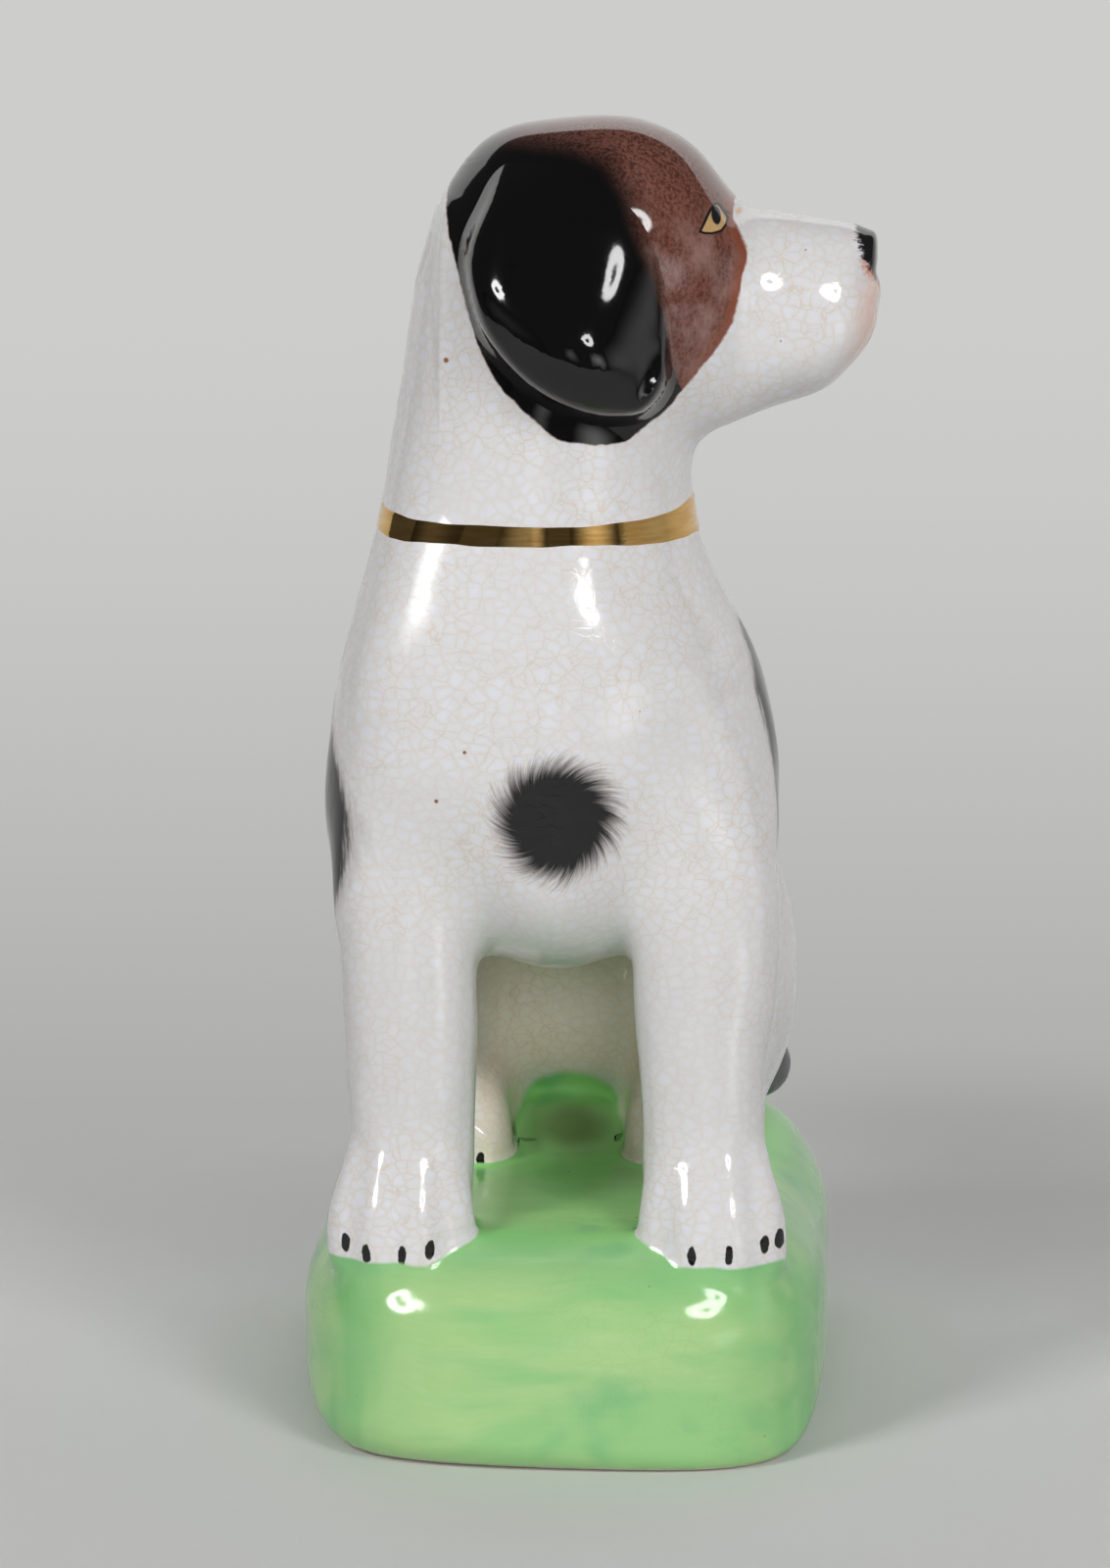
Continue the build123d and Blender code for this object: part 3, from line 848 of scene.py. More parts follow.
def crazed_white(m):
    """Milky glaze with a fine net of stained craze lines. Gives its colour and the line strength."""
    warp = m.vec("SCALE", m.vec("SUBTRACT", m.noise(m.p, 0.45, 2.0, 0.5, colour=True), (0.5, 0.5, 0.5)), scale=1.3)
    q = m.vec("ADD", m.p, warp)
    q = m.vec("MULTIPLY", q, (0.92, 0.92, 1.15))
    d = m.cells(q, 0.62)
    fine = m.cells(m.vec("ADD", q, (31.0, 17.0, 5.0)), 1.10)
    big = m.cells(m.vec("ADD", q, (11.0, 47.0, 25.0)), 0.24)
    stain = m.step(m.noise(m.p, 0.085, 2.0), 0.35, 0.70)
    milk = m.step(m.noise(m.p, 0.30, 2.0), 0.35, 0.70)
    cell = m.math("MULTIPLY", m.step(d, 0.04, 0.34), m.math("MULTIPLY_ADD", milk, 0.6, 0.4))
    line = m.math("SUBTRACT", 1.0, m.step(d, 0.003, 0.055))
    thin = m.math("MULTIPLY", m.math("SUBTRACT", 1.0, m.step(fine, 0.0, 0.08)), m.math("MULTIPLY_ADD", stain, 0.5, 0.05))
    crack = m.math("SUBTRACT", 1.0, m.step(big, 0.0, 0.018))
    colour = m.mix(cell, (0.680, 0.668, 0.662), (0.704, 0.712, 0.760))
    net = m.math("MAXIMUM", m.math("MULTIPLY", line, m.math("MULTIPLY_ADD", stain, 0.25, 0.15)), m.math("MULTIPLY", thin, 0.26))
    colour = m.mix(net, colour, (0.580, 0.425, 0.310))
    colour = m.mix(m.math("MULTIPLY", crack, m.math("MULTIPLY_ADD", stain, 0.14, 0.08)), colour, (0.50, 0.37, 0.28))
    rust = m.step(m.noise(m.p, 0.16, 3.0, 0.6), 0.64, 0.80)
    colour = m.mix(m.math("MULTIPLY", rust, m.math("MULTIPLY_ADD", line, 0.24, 0.06)), colour, (0.68, 0.47, 0.28))
    return colour, line


def hair_spot(m, u, v, radius, turn, seed, fringe=1.6):
    """Round spot brushed with short strokes that swirl round it. Gives the solid and the thin wash."""
    flat = m.xyz(u, v, 0.0)
    r = m.vec("LENGTH", flat)
    rot = m.new("ShaderNodeVectorRotate")
    rot.rotation_type = "Z_AXIS"
    m.put(rot.inputs["Vector"], flat)
    m.put(rot.inputs["Angle"], m.math("MULTIPLY", r, turn))
    way = m.vec("NORMALIZE", rot.outputs[0])
    ring = m.vec("ADD", m.vec("SCALE", way, scale=radius * 1.15), m.xyz(seed, seed * 0.37, m.math("MULTIPLY", r, 0.10)))
    n1 = m.noise(ring, 0.9, 3.0, 0.60)
    n2 = m.noise(m.vec("ADD", ring, (9.0, 4.0, 2.0)), 4.2, 3.0, 0.65)
    lock = m.math("MULTIPLY", m.math("SUBTRACT", n1, 0.5), 2.2 * fringe)
    jag = m.math("MULTIPLY_ADD", m.math("SUBTRACT", n2, 0.5), 1.5 * fringe, lock)
    d = m.math("SUBTRACT", m.math("ADD", r, jag), radius)
    solid = m.step(d, 0.85, -1.75)
    solid = m.math("MULTIPLY", solid, m.step(n2, 0.70, 0.50, 0.975, 1.0))
    wash = m.step(m.math("ADD", d, m.math("MULTIPLY", m.math("SUBTRACT", n2, 0.5), 2.4)), 1.9, -0.2)
    return solid, wash


def grass(m):
    """Green washed on in long level strokes, darker under the paws; painted shade in the nook between the hind legs and
    on the flanks of the block, and a painted lighter top.
    """
    bend = m.vec("SCALE", m.vec("SUBTRACT", m.noise(m.p, 0.035, 2.0, colour=True), (0.5, 0.5, 0.5)), scale=8.0)
    q = m.vec("ADD", m.p, bend)
    broad = m.noise(m.vec("MULTIPLY", q, (0.030, 0.075, 0.13)), 1.0, 2.0, 0.5)
    stroke = m.noise(m.vec("MULTIPLY", q, (0.055, 0.17, 0.30)), 1.0, 2.0, 0.5)
    hair = m.noise(m.vec("MULTIPLY", q, (0.16, 0.9, 1.6)), 1.0, 2.0, 0.55)
    colour = m.mix(m.step(hair, 0.3, 0.7), (0.380, 0.600, 0.250), (0.400, 0.618, 0.264))
    colour = m.mix(m.math("MULTIPLY", m.step(broad, 0.46, 0.66), 0.62), colour, (0.245, 0.550, 0.210))
    colour = m.mix(m.math("MULTIPLY", m.step(stroke, 0.52, 0.72), 0.42), colour, (0.205, 0.520, 0.205))
    # darker upright strokes towards the flanks of the block, darker still on the right: brush strokes that are partly
    # painted shade on the sides turning from the lamps
    side = m.step(m.math("ABSOLUTE", m.math("ADD", m.x, -2.0)), 15.0, 31.0)
    upright = m.noise(m.vec("MULTIPLY", q, (0.14, 0.10, 0.04)), 1.0, 2.0, 0.5)
    colour = m.mix(m.math("MULTIPLY", side, m.step(upright, 0.40, 0.58, 0.32, 0.85)), colour, (0.195, 0.485, 0.180))
    colour = m.mix(m.math("MULTIPLY", m.step(m.x, 17.0, 33.0), m.step(stroke, 0.40, 0.62, 0.20, 0.70)), colour, (0.190, 0.480, 0.170))
    paws = m.math("MULTIPLY", m.step(m.z, 22.0, 26.5), m.step(m.math("ADD", m.y, m.math("MULTIPLY", stroke, 16.0)), -18.0, -32.0))
    colour = m.mix(m.math("MULTIPLY", paws, 0.42), colour, (0.150, 0.470, 0.195))
    # the top of the block behind its front edge: a more vivid green, and painted lighter in place of the light the legs
    # keep off it
    flat = m.math("MULTIPLY", m.step(m.z, 25.5, 28.0), m.step(m.y, -42.0, -34.0))
    colour = m.mix(m.math("MULTIPLY", flat, 0.66), colour, (0.270, 0.730, 0.205))
    pool = m.noise(m.vec("MULTIPLY", q, (0.075, 0.075, 0.10)), 1.0, 2.0)
    colour = m.mix(m.math("MULTIPLY", m.step(pool, 0.58, 0.74), 0.50), colour, (0.130, 0.440, 0.190))
    # painted shade: dark olive in the inner corner where the base meets the belly wall between the hind legs
    nook = m.step(m.vec("LENGTH", m.vec("MULTIPLY", m.vec("SUBTRACT", m.p, (-1.0, 8.5, 31.0)), (1 / 8.0, 1 / 9.0, 1 / 5.0))), 1.15, 0.25)
    return m.mix(m.math("MULTIPLY", m.math("MULTIPLY", nook, m.step(m.y, 20.0, 15.0)), 0.85), colour, (0.075, 0.105, 0.032))


# white parts of the body, with black spots, claws and tail; the tail's black glaze is painted a mid grey as a painted
# reflection of the pale backdrop
BODY_SPOTS = [
    # across, centre, radii across and up, side test axis, sign, limit, turn, seed
    ("x", (-1.2, 80.6), (7.3, 7.3), ("y", -1, -18.0), 0.10, 1.3),
    ("x", (6.0, 60.0), (12.0, 12.0), ("y", 1, 22.0), 0.09, 17.9),
]
# flank spots seen from the side: y, z
FLANK_RIGHT = [
    (-11.5, 98.0), (-18.8, 95.0), (-25.0, 90.8), (-29.8, 84.2), (-31.2, 78.5), (-30.3, 73.5), (-28.2, 68.5), (-24.0, 64.5),
    (-19.0, 64.5), (-7.0, 66.5), (1.0, 72.5), (4.5, 80.5), (1.0, 89.5), (-5.0, 95.0),
]
FLANK_LEFT = [
    (-12.0, 103.5), (-16.8, 99.5), (-18.6, 94.0), (-18.8, 87.0), (-20.3, 80.0), (-21.3, 74.0), (-16.5, 67.3), (0.0, 65.0),
    (12.0, 77.0), (13.0, 89.0), (6.0, 98.0), (-4.0, 103.0),
]
CLAWS = [
    (-27.4, 27.5, -1), (-24.7, 26.6, -1), (-20.2, 26.5, -1), (-16.7, 27.2, -1),
    (15.9, 26.9, -1), (20.5, 27.2, -1), (24.9, 28.0, -1), (26.7, 28.4, -1),
]
HIND_CLAWS = [(-21.6, 29.0), (-18.4, 28.6), (-15.2, 28.6), (-12.8, 28.9), (10.3, 28.9), (12.6, 28.6), (15.9, 28.6), (19.1, 29.0)]


def body_glaze():
    m = Paint("crazed_white_glaze")
    colour, line = crazed_white(m)
    # painted shade and light: the forelegs are painted a little greyer for shade, and the belly is painted warmer and
    # darker up under the chest for shade and lighter towards the ground for the light that falls in between the legs
    leg_shade = m.math("MULTIPLY", m.math("MULTIPLY", m.step(m.z, 78.0, 56.0), m.step(m.z, 36.0, 46.0)), m.step(m.y, -12.0, -22.0))
    colour = m.mix(m.math("MULTIPLY", leg_shade, 0.28), colour, (0.48, 0.47, 0.455))
    # painted shade under the chest and painted light low on the belly wall
    belly = m.math("MULTIPLY", m.step(m.math("ABSOLUTE", m.math("ADD", m.x, 1.8)), 14.0, 10.0), m.math("MULTIPLY", m.step(m.y, -16.0, -4.0), m.step(m.y, 20.0, 14.0)))
    colour = m.mix(m.math("MULTIPLY", belly, m.step(m.z, 68.0, 58.0)), colour, (0.93, 0.86, 0.72), "MULTIPLY")
    colour = m.mix(m.math("MULTIPLY", belly, m.step(m.z, 58.0, 44.0)), colour, (1.28, 1.27, 1.30), "MULTIPLY")
    ink = None
    for across, (cu, cv), (radius, tall), (axis, sign, limit), turn, seed in BODY_SPOTS:
        u = m.math("SUBTRACT", getattr(m, across), cu)
        v = m.math("MULTIPLY", m.math("SUBTRACT", m.z, cv), radius / tall)
        solid, wash = hair_spot(m, u, v, radius, turn, seed)
        there = m.math("GREATER_THAN", m.math("MULTIPLY", getattr(m, axis), float(sign)), sign * limit)
        solid, wash = m.math("MULTIPLY", solid, there), m.math("MULTIPLY", wash, there)
        colour = m.mix(m.math("MULTIPLY", wash, 0.48), colour, (0.17, 0.115, 0.10))
        ink = solid if ink is None else m.math("MAXIMUM", ink, solid)
    hair = m.noise(m.vec("MULTIPLY", m.p, (0.8, 1.5, 0.22)), 1.0, 3.0, 0.65)
    lock = m.noise(m.vec("MULTIPLY", m.p, (0.3, 0.4, 0.14)), 1.0, 2.0)
    d = m.math("MULTIPLY_ADD", m.math("SUBTRACT", hair, 0.5), 2.6, m.attr("flank_d"))
    d = m.math("MULTIPLY_ADD", m.math("SUBTRACT", lock, 0.5), 2.0, d)
    colour = m.mix(m.math("MULTIPLY", m.step(d, 2.2, -0.2), 0.35), colour, (0.17, 0.115, 0.10))
    ink = m.math("MAXIMUM", ink, m.step(d, 0.6, -1.0))
    wob = m.vec("SCALE", m.vec("SUBTRACT", m.noise(m.p, 0.9, 1.0, colour=True), (0.5, 0.5, 0.5)), scale=0.5)
    flat = m.vec("MULTIPLY", m.vec("ADD", m.p, wob), (1.0, 0.0, 0.46))
    near = None
    for cx, cz, _ in CLAWS:
        d = m.vec("DISTANCE", flat, (cx, 0.0, cz * 0.46))
        near = d if near is None else m.math("MINIMUM", near, d)
    claws = m.math("MULTIPLY", m.step(near, 0.62, 0.50), m.math("LESS_THAN", m.y, -36.0))
    ink = m.math("MAXIMUM", ink, claws)
    near = None
    for cx, cz in HIND_CLAWS:
        d = m.vec("DISTANCE", flat, (cx, 0.0, cz * 0.46))
        near = d if near is None else m.math("MINIMUM", near, d)
    hind = m.math("MULTIPLY", m.step(near, 0.60, 0.48), m.math("LESS_THAN", m.math("ABSOLUTE", m.math("ADD", m.y, 1.0)), 5.0))
    ink = m.math("MAXIMUM", ink, hind)
    colour = m.mix(ink, colour, (0.0048, 0.0044, 0.0045))
    # painted reflection: the tail is a mid grey rather than black, for the pale backdrop mirrored in its black glaze
    tail_reflection_d = m.math("MULTIPLY_ADD", m.math("SUBTRACT", hair, 0.5), 1.6, m.attr("tail_d"))
    colour = m.mix(m.step(tail_reflection_d, 1.1, 0.3), colour, (0.100, 0.100, 0.104))
    for sx, sy, sz, size in ((-12.5, -33.0, 89.2, 0.32), (-16.1, -31.0, 82.85, 0.36), (-4.0, -37.0, 74.0, 0.14), (9.0, -36.0, 94.0, 0.12)):
        d = m.vec("DISTANCE", m.vec("MULTIPLY", m.p, (1.0, 0.0, 1.0)), (sx, 0.0, sz))
        colour = m.mix(m.math("MULTIPLY", m.step(d, size, size * 0.4), m.math("LESS_THAN", m.y, -15.0)), colour, (0.22, 0.085, 0.045))
    # green runs a little way up the white, and higher in the arch between the hind legs
    edge = m.math("MULTIPLY_ADD", m.math("SUBTRACT", m.noise(m.p, 0.30, 2.0), 0.5), 0.9, m.attr("plinth_d"))
    in_arch = m.math("DIVIDE", m.math("ADD", m.x, 2.0), 8.6)
    arch = m.math("MULTIPLY", m.math("SUBTRACT", 1.0, m.math("POWER", m.math("ABSOLUTE", in_arch), 2.2)), 6.6)
    inside = m.math("MULTIPLY", m.step(m.y, 4.0, 10.0), m.step(m.y, 26.0, 20.0))
    arch = m.math("MULTIPLY", m.math("MAXIMUM", arch, 0.0), inside)
    soft = m.math("MULTIPLY_ADD", inside, 3.5, 1.0)
    green = m.step(m.math("DIVIDE", m.math("SUBTRACT", edge, m.math("ADD", arch, 0.5)), soft), 0.30, -0.15)
    paws = m.step(m.math("MULTIPLY_ADD", m.math("SUBTRACT", m.noise(m.p, 0.22, 2.0), 0.5), 1.0, m.z), 25.75, 25.25)
    green = m.math("MAXIMUM", green, m.math("MULTIPLY", paws, m.math("LESS_THAN", m.y, -31.0)))
    tint = grass(m)
    colour = m.mix(green, colour, tint)
    wave = m.noise(m.p, 0.14, 2.0, 0.5)
    height = m.math("MULTIPLY_ADD", line, -0.012, m.math("MULTIPLY", wave, 0.5))
    return m.finish(
        base_color=colour,
        roughness=m.math("MULTIPLY_ADD", m.math("MULTIPLY", m.step(m.x, -8.0, -14.0), m.step(m.z, 90.0, 102.0)), 0.13, m.math("MULTIPLY_ADD", m.noise(m.p, 0.4, 3.0), 0.06, 0.065)),
        ior=1.52,
        normal=m.bump(height, 0.30, 0.001),
    )


def head_glaze():
    m = Paint("head_glaze")
    colour, line = crazed_white(m)
    # blush round the end of the muzzle
    front = m.math("MULTIPLY_ADD", m.math("SUBTRACT", m.z, 141.0), -0.16, m.x)
    blush = m.math("MULTIPLY", m.step(front, 33.0, 39.0), m.math("MULTIPLY", m.step(m.z, 130.0, 136.0), m.step(m.z, 148.5, 144.5)))
    colour = m.mix(m.math("MULTIPLY", blush, 0.55), colour, (0.78, 0.34, 0.18))
    # sponged red-brown mask
    edge = m.math("MULTIPLY_ADD", m.math("SUBTRACT", m.noise(m.p, 0.45, 3.0, 0.55), 0.5), 0.8, m.attr("paint_d"))
    mask = m.step(edge, 0.16, -0.20)
    sponge = m.noise(m.vec("MULTIPLY", m.p, (1.0, 1.0, 0.7)), 2.3, 4.0, 0.60)
    fine = m.noise(m.p, 4.6, 2.0, 0.6)
    cloud = m.noise(m.vec("MULTIPLY", m.p, (1.3, 1.0, 0.7)), 0.24, 3.0, 0.60)
    brown = m.mix(m.step(sponge, 0.30, 0.68), (0.078, 0.026, 0.018), (0.180, 0.070, 0.050))
    brown = m.mix(m.math("MULTIPLY", m.step(cloud, 0.42, 0.68), m.step(m.z, 157.0, 149.0, 0.12, 0.85)), brown, (0.270, 0.155, 0.135))
    brown = m.mix(m.math("MULTIPLY", m.step(fine, 0.54, 0.74), 0.34), brown, (0.33, 0.180, 0.150))
    brown = m.mix(m.math("MULTIPLY", m.step(sponge, 0.52, 0.38), m.step(m.z, 155.0, 162.0, 0.10, 0.75)), brown, (0.050, 0.016, 0.012))
    rim = m.math("MULTIPLY", m.step(edge, -2.2, -0.1), m.step(m.z, 136.0, 142.0, 0.35, 0.75))
    brown = m.mix(rim, brown, (0.250, 0.066, 0.030))
    colour = m.mix(mask, colour, brown)
    # black ears, breathed on so that they fade into the brown
    width = m.step(m.z, 138.0, 156.0, 0.35, 4.6)
    fade = m.math("DIVIDE", m.math("ADD", m.attr("black_d"), m.math("MULTIPLY", m.math("SUBTRACT", fine, 0.5), 0.7)), width)
    black = m.math("MULTIPLY", m.step(fade, 0.55, -0.5), mask)
    colour = m.mix(black, colour, (0.0030, 0.0028, 0.0029))
    # nose
    away = m.vec("SUBTRACT", m.p, (38.7, HEAD_Y, 150.0))
    d = m.vec("LENGTH", m.vec("MULTIPLY", away, (1 / 4.4, 1 / 7.6, 1 / 4.7)))
    hairs = m.noise(m.vec("MULTIPLY", m.p, (0.5, 1.6, 2.2)), 1.3, 3.0, 0.65)
    rough_d = m.math("MULTIPLY_ADD", m.math("SUBTRACT", hairs, 0.5), 0.55, d)
    below = m.math("MULTIPLY", m.step(m.z, 149.4, 147.4), m.step(rough_d, 1.22, 1.00))
    colour = m.mix(m.math("MULTIPLY", below, 0.8), colour, (0.62, 0.15, 0.05))
    colour = m.mix(m.step(rough_d, 1.06, 0.90), colour, (0.010, 0.009, 0.009))
    # eyes: amber almond, black outline, upright pupil
    def half_plane(ax, az, bx, bz):
        """Distance beyond the line from a to b, positive on its left."""
        lx, lz = bx - ax, bz - az
        k = math.hypot(lx, lz)
        n = (-lz / k, lx / k)
        return m.vec("DOT_PRODUCT", m.p, (n[0], 0.0, n[1])), -(n[0] * ax + n[1] * az)

    corners = [
        (15.91, 152.55), (16.55, 152.33), (17.53, 152.25), (18.66, 152.52), (19.29, 153.26), (19.47, 154.12), (18.94, 154.99),
        (18.52, 155.60), (18.07, 155.95), (17.60, 155.79), (17.04, 154.99),
    ]
    far = None
    for a, b in zip(corners, corners[1:] + corners[:1]):
        d, k = half_plane(*a, *b)
        d = m.math("MULTIPLY_ADD", d, -1.0, -k)
        far = d if far is None else m.math("MAXIMUM", far, d)
    side = m.math("GREATER_THAN", m.math("ABSOLUTE", m.math("SUBTRACT", m.y, HEAD_Y)), 3.0)
    lid = m.math("MULTIPLY", m.step(far, 0.10, 0.0), side)
    line_w = m.step(m.z, 152.6, 153.8, 0.20, 0.24)
    iris = m.math("MULTIPLY", m.step(m.math("ADD", far, line_w), 0.02, -0.10), side)
    amber = m.mix(m.noise(m.p, 1.6, 3.0), (0.42, 0.245, 0.10), (0.60, 0.41, 0.20))
    amber = m.mix(m.math("MULTIPLY", m.step(m.z, 153.6, 155.2), 0.5), amber, (0.30, 0.24, 0.17))
    colour = m.mix(lid, colour, (0.012, 0.010, 0.009))
    colour = m.mix(iris, colour, amber)
    about = m.vec("SUBTRACT", m.p, (17.95, 0.0, 154.45))
    pu = m.vec("DOT_PRODUCT", about, (0.98, 0.0, 0.20))
    pv = m.vec("DOT_PRODUCT", about, (-0.20, 0.0, 0.98))
    pupil = m.vec("LENGTH", m.xyz(m.math("DIVIDE", pu, 0.55), m.math("DIVIDE", pv, 1.12), 0.0))
    colour = m.mix(m.math("MULTIPLY", m.step(pupil, 1.08, 0.92), lid), colour, (0.012, 0.012, 0.013))
    about = m.vec("SUBTRACT", m.p, (19.35, 0.0, 154.72))
    lash = m.vec("LENGTH", m.xyz(m.math("DIVIDE", m.vec("DOT_PRODUCT", about, (0.84, 0.0, -0.54)), 0.50), m.math("DIVIDE", m.vec("DOT_PRODUCT", about, (0.54, 0.0, 0.84)), 0.13), 0.0))
    colour = m.mix(m.math("MULTIPLY", m.step(lash, 1.1, 0.7), side), colour, (0.020, 0.014, 0.012))
    smudge = m.vec("DISTANCE", m.vec("MULTIPLY", m.p, (1.0, 0.0, 1.0)), (20.7, 0.0, 154.7))
    colour = m.mix(m.math("MULTIPLY", m.step(smudge, 0.62, 0.15), 0.7), colour, (0.58, 0.30, 0.07))
    for sx, sz, size in ((-15.3, 136.6, 0.45), (29.0, 150.0, 0.15), (26.0, 139.0, 0.15)):
        d = m.vec("DISTANCE", m.vec("MULTIPLY", m.p, (1.0, 0.0, 1.0)), (sx, 0.0, sz))
        colour = m.mix(m.math("MULTIPLY", m.step(d, size, size * 0.4), m.math("LESS_THAN", m.y, HEAD_Y)), colour, (0.25, 0.10, 0.05))
    wave = m.noise(m.p, 0.16, 2.0, 0.5)
    height = m.math("MULTIPLY_ADD", line, -0.008, m.math("MULTIPLY", wave, 0.12))
    height = m.math("MULTIPLY", height, m.math("MULTIPLY_ADD", mask, -0.8, 1.0))
    return m.finish(
        base_color=colour,
        roughness=m.math("MULTIPLY_ADD", mask, 0.010, m.math("MULTIPLY_ADD", m.noise(m.p, 0.4, 3.0), 0.04, 0.045)),
        ior=1.52,
        normal=m.bump(height, 0.30, 0.001),
    )


def green_glaze():
    m = Paint("green_glaze")
    colour = grass(m)
    d = m.cells(m.vec("ADD", m.p, m.vec("SCALE", m.noise(m.p, 0.5, 1.0, colour=True), scale=0.9)), 0.50)
    line = m.math("SUBTRACT", 1.0, m.step(d, 0.0, 0.05))
    colour = m.mix(m.math("MULTIPLY", line, m.step(m.noise(m.p, 0.05, 1.0), 0.50, 0.75, 0.0, 0.16)), colour, (0.22, 0.24, 0.09))
    speck = m.cells(m.p, 0.13, "F1")
    colour = m.mix(m.step(speck, 0.030, 0.020), colour, (0.10, 0.10, 0.04))
    bare = m.step(m.math("ADD", m.z, m.math("MULTIPLY", m.noise(m.p, 0.25, 3.0), -1.0)), 0.20, -0.20)
    clay = m.mix(m.noise(m.p, 0.6, 4.0, 0.65), (0.50, 0.42, 0.32), (0.66, 0.59, 0.48))
    colour = m.mix(bare, colour, clay)
    wave = m.noise(m.p, 0.10, 2.0, 0.5)
    peel = m.noise(m.p, 0.9, 2.0, 0.5)
    height = m.math("MULTIPLY_ADD", peel, 0.030, m.math("MULTIPLY", wave, 0.6))
    return m.finish(
        base_color=colour,
        roughness=m.math("MAXIMUM", m.math("MULTIPLY", bare, 0.75), m.math("MULTIPLY_ADD", m.noise(m.p, 0.4, 3.0), 0.06, 0.085)),
        ior=1.52,
        normal=m.bump(height, 0.35, 0.001),
    )


def bare_clay():
    m = Paint("bare_clay")
    tone = m.noise(m.p, 0.12, 4.0, 0.6)
    grain = m.noise(m.p, 1.8, 4.0, 0.7)
    colour = m.mix(m.step(tone, 0.3, 0.7), (0.48, 0.40, 0.30), (0.66, 0.58, 0.47))
    colour = m.mix(m.math("MULTIPLY", m.step(grain, 0.52, 0.7), 0.35), colour, (0.34, 0.27, 0.19))
    return m.finish(base_color=colour, roughness=m.math("MULTIPLY_ADD", grain, 0.2, 0.68), normal=m.bump(grain, 0.4, 0.0004))


def gilding():
    m = Paint("gilding")
    streak = m.noise(m.vec("MULTIPLY", m.p, (0.22, 0.22, 2.0)), 1.0, 3.0, 0.55)
    worn = m.noise(m.p, 0.8, 4.0, 0.65)
    colour = m.mix(m.step(streak, 0.35, 0.70), (0.80, 0.46, 0.140), (0.90, 0.60, 0.230))
    colour = m.mix(m.math("MULTIPLY", m.step(worn, 0.58, 0.78), 0.30), colour, (0.60, 0.30, 0.09))
    return m.finish(
        base_color=colour,
        metallic=1.0,
        roughness=m.math("MULTIPLY_ADD", worn, 0.06, 0.045),
        normal=m.bump(m.math("MULTIPLY_ADD", streak, 0.4, worn), 0.02, 0.0002),
    )


# ------------------------------------------------------------------------------------------ pieces
BODY = body_glaze()
HEADM = head_glaze()
GREEN = green_glaze()

make("glazed_plinth", largest(plinth_skin), GREEN, ["plinth_shell", "plinth_slip_bed"], "green_glaze")
for part in (frame["nodes"]["plinth_floor"],):
    part.data.materials.clear()
    part.data.materials.append(bare_clay())


def body_values(skin):
    p = skin[0]
    flank = np.full(len(p), 50.0)
    for curve, there in ((FLANK_RIGHT, p[:, 0] < -14.0), (FLANK_LEFT, p[:, 0] > 10.0)):
        flank[there] = outline_distance(p[there, 1], p[there, 2], closed_curve(curve))
    return {"plinth_d": plinth_field(*p.T), "tail_d": chain(TAIL[2:], *p.T), "flank_d": flank}


def piece(name, skin, nodes, slot):
    return make(name, skin, BODY, nodes, slot, **body_values(skin))


# forelegs below the chest, hind feet under the haunches, tail behind: each cut from the body along its joint
p = dog[0]
legs, rest = cut(dog, np.maximum(p[:, 2] - 56.5, p[:, 1] + 14.0))
right, left = cut(legs, legs[0][:, 0] - DOG_X)
piece("glazed_foreleg_right", right, ["foreleg_right", "foreleg_slip_joints"], "white_glaze")
piece("glazed_foreleg_left", left, ["foreleg_left"], "white_glaze")
p = rest[0]
tail, rest = cut(rest, chain(TAIL[1:], *p.T) - 0.4)
piece("glazed_tail", tail, ["tail", "tail_slip_joint"], "black_glaze")
p = rest[0]
feet, rest = cut(rest, np.maximum.reduce([p[:, 2] - 39.0, p[:, 1] - 9.0, 6.5 - np.abs(p[:, 0] - DOG_X)]))
right, left = cut(feet, feet[0][:, 0] - DOG_X)
piece("glazed_hind_foot_right", right, ["hind_foot_right", "hind_foot_slip_joints"], "white_glaze")
piece("glazed_hind_foot_left", left, ["hind_foot_left"], "white_glaze")
piece("glazed_torso", rest, ["torso_right_half", "torso_left_half", "torso_seam_slip"], "white_glaze")

head_skin = largest(head_skin)
make(
    "glazed_head",
    head_skin,
    HEADM,
    ["head_right_half", "head_left_half", "head_seam_slip", "neck_slip_ring"],
    "white_glaze",
    **head_values(head_skin),
)
make("glazed_ear_right", ears["ear_right"], HEADM, ["ear_right", "ear_slip_pads"], "black_glaze", **head_values(ears["ear_right"]))
make("glazed_ear_left", ears["ear_left"], HEADM, ["ear_left"], "black_glaze", **head_values(ears["ear_left"]))

# gilt band: laid on the neck with a slightly uneven hand
turns, across = 360, 9
ang = np.linspace(0, 2 * np.pi, turns, endpoint=False)
wob = 0.16 * np.sin(3 * ang + 0.6) + 0.10 * np.sin(7 * ang + 2.0) + 0.06 * np.sin(17 * ang)
wob2 = 0.14 * np.sin(4 * ang + 1.9) + 0.10 * np.sin(9 * ang + 0.3) + 0.05 * np.sin(23 * ang + 1.0)
facing = 0.5 - 0.5 * np.sin(ang)                      # 1 at the chest, 0 at the nape
sidew = np.abs(np.cos(ang)) ** 3
centre = 115.95 - 0.15 * np.cos(ang) - 0.65 * facing + 0.6 * sidew
up = centre + 1.25 + (1.15 + 0.45 * np.cos(ang)) * sidew + 0.6 * wob
down = centre - 1.25 - (0.55 + 0.45 * np.cos(ang)) * sidew + 0.6 * wob2
verts, norms = [], []
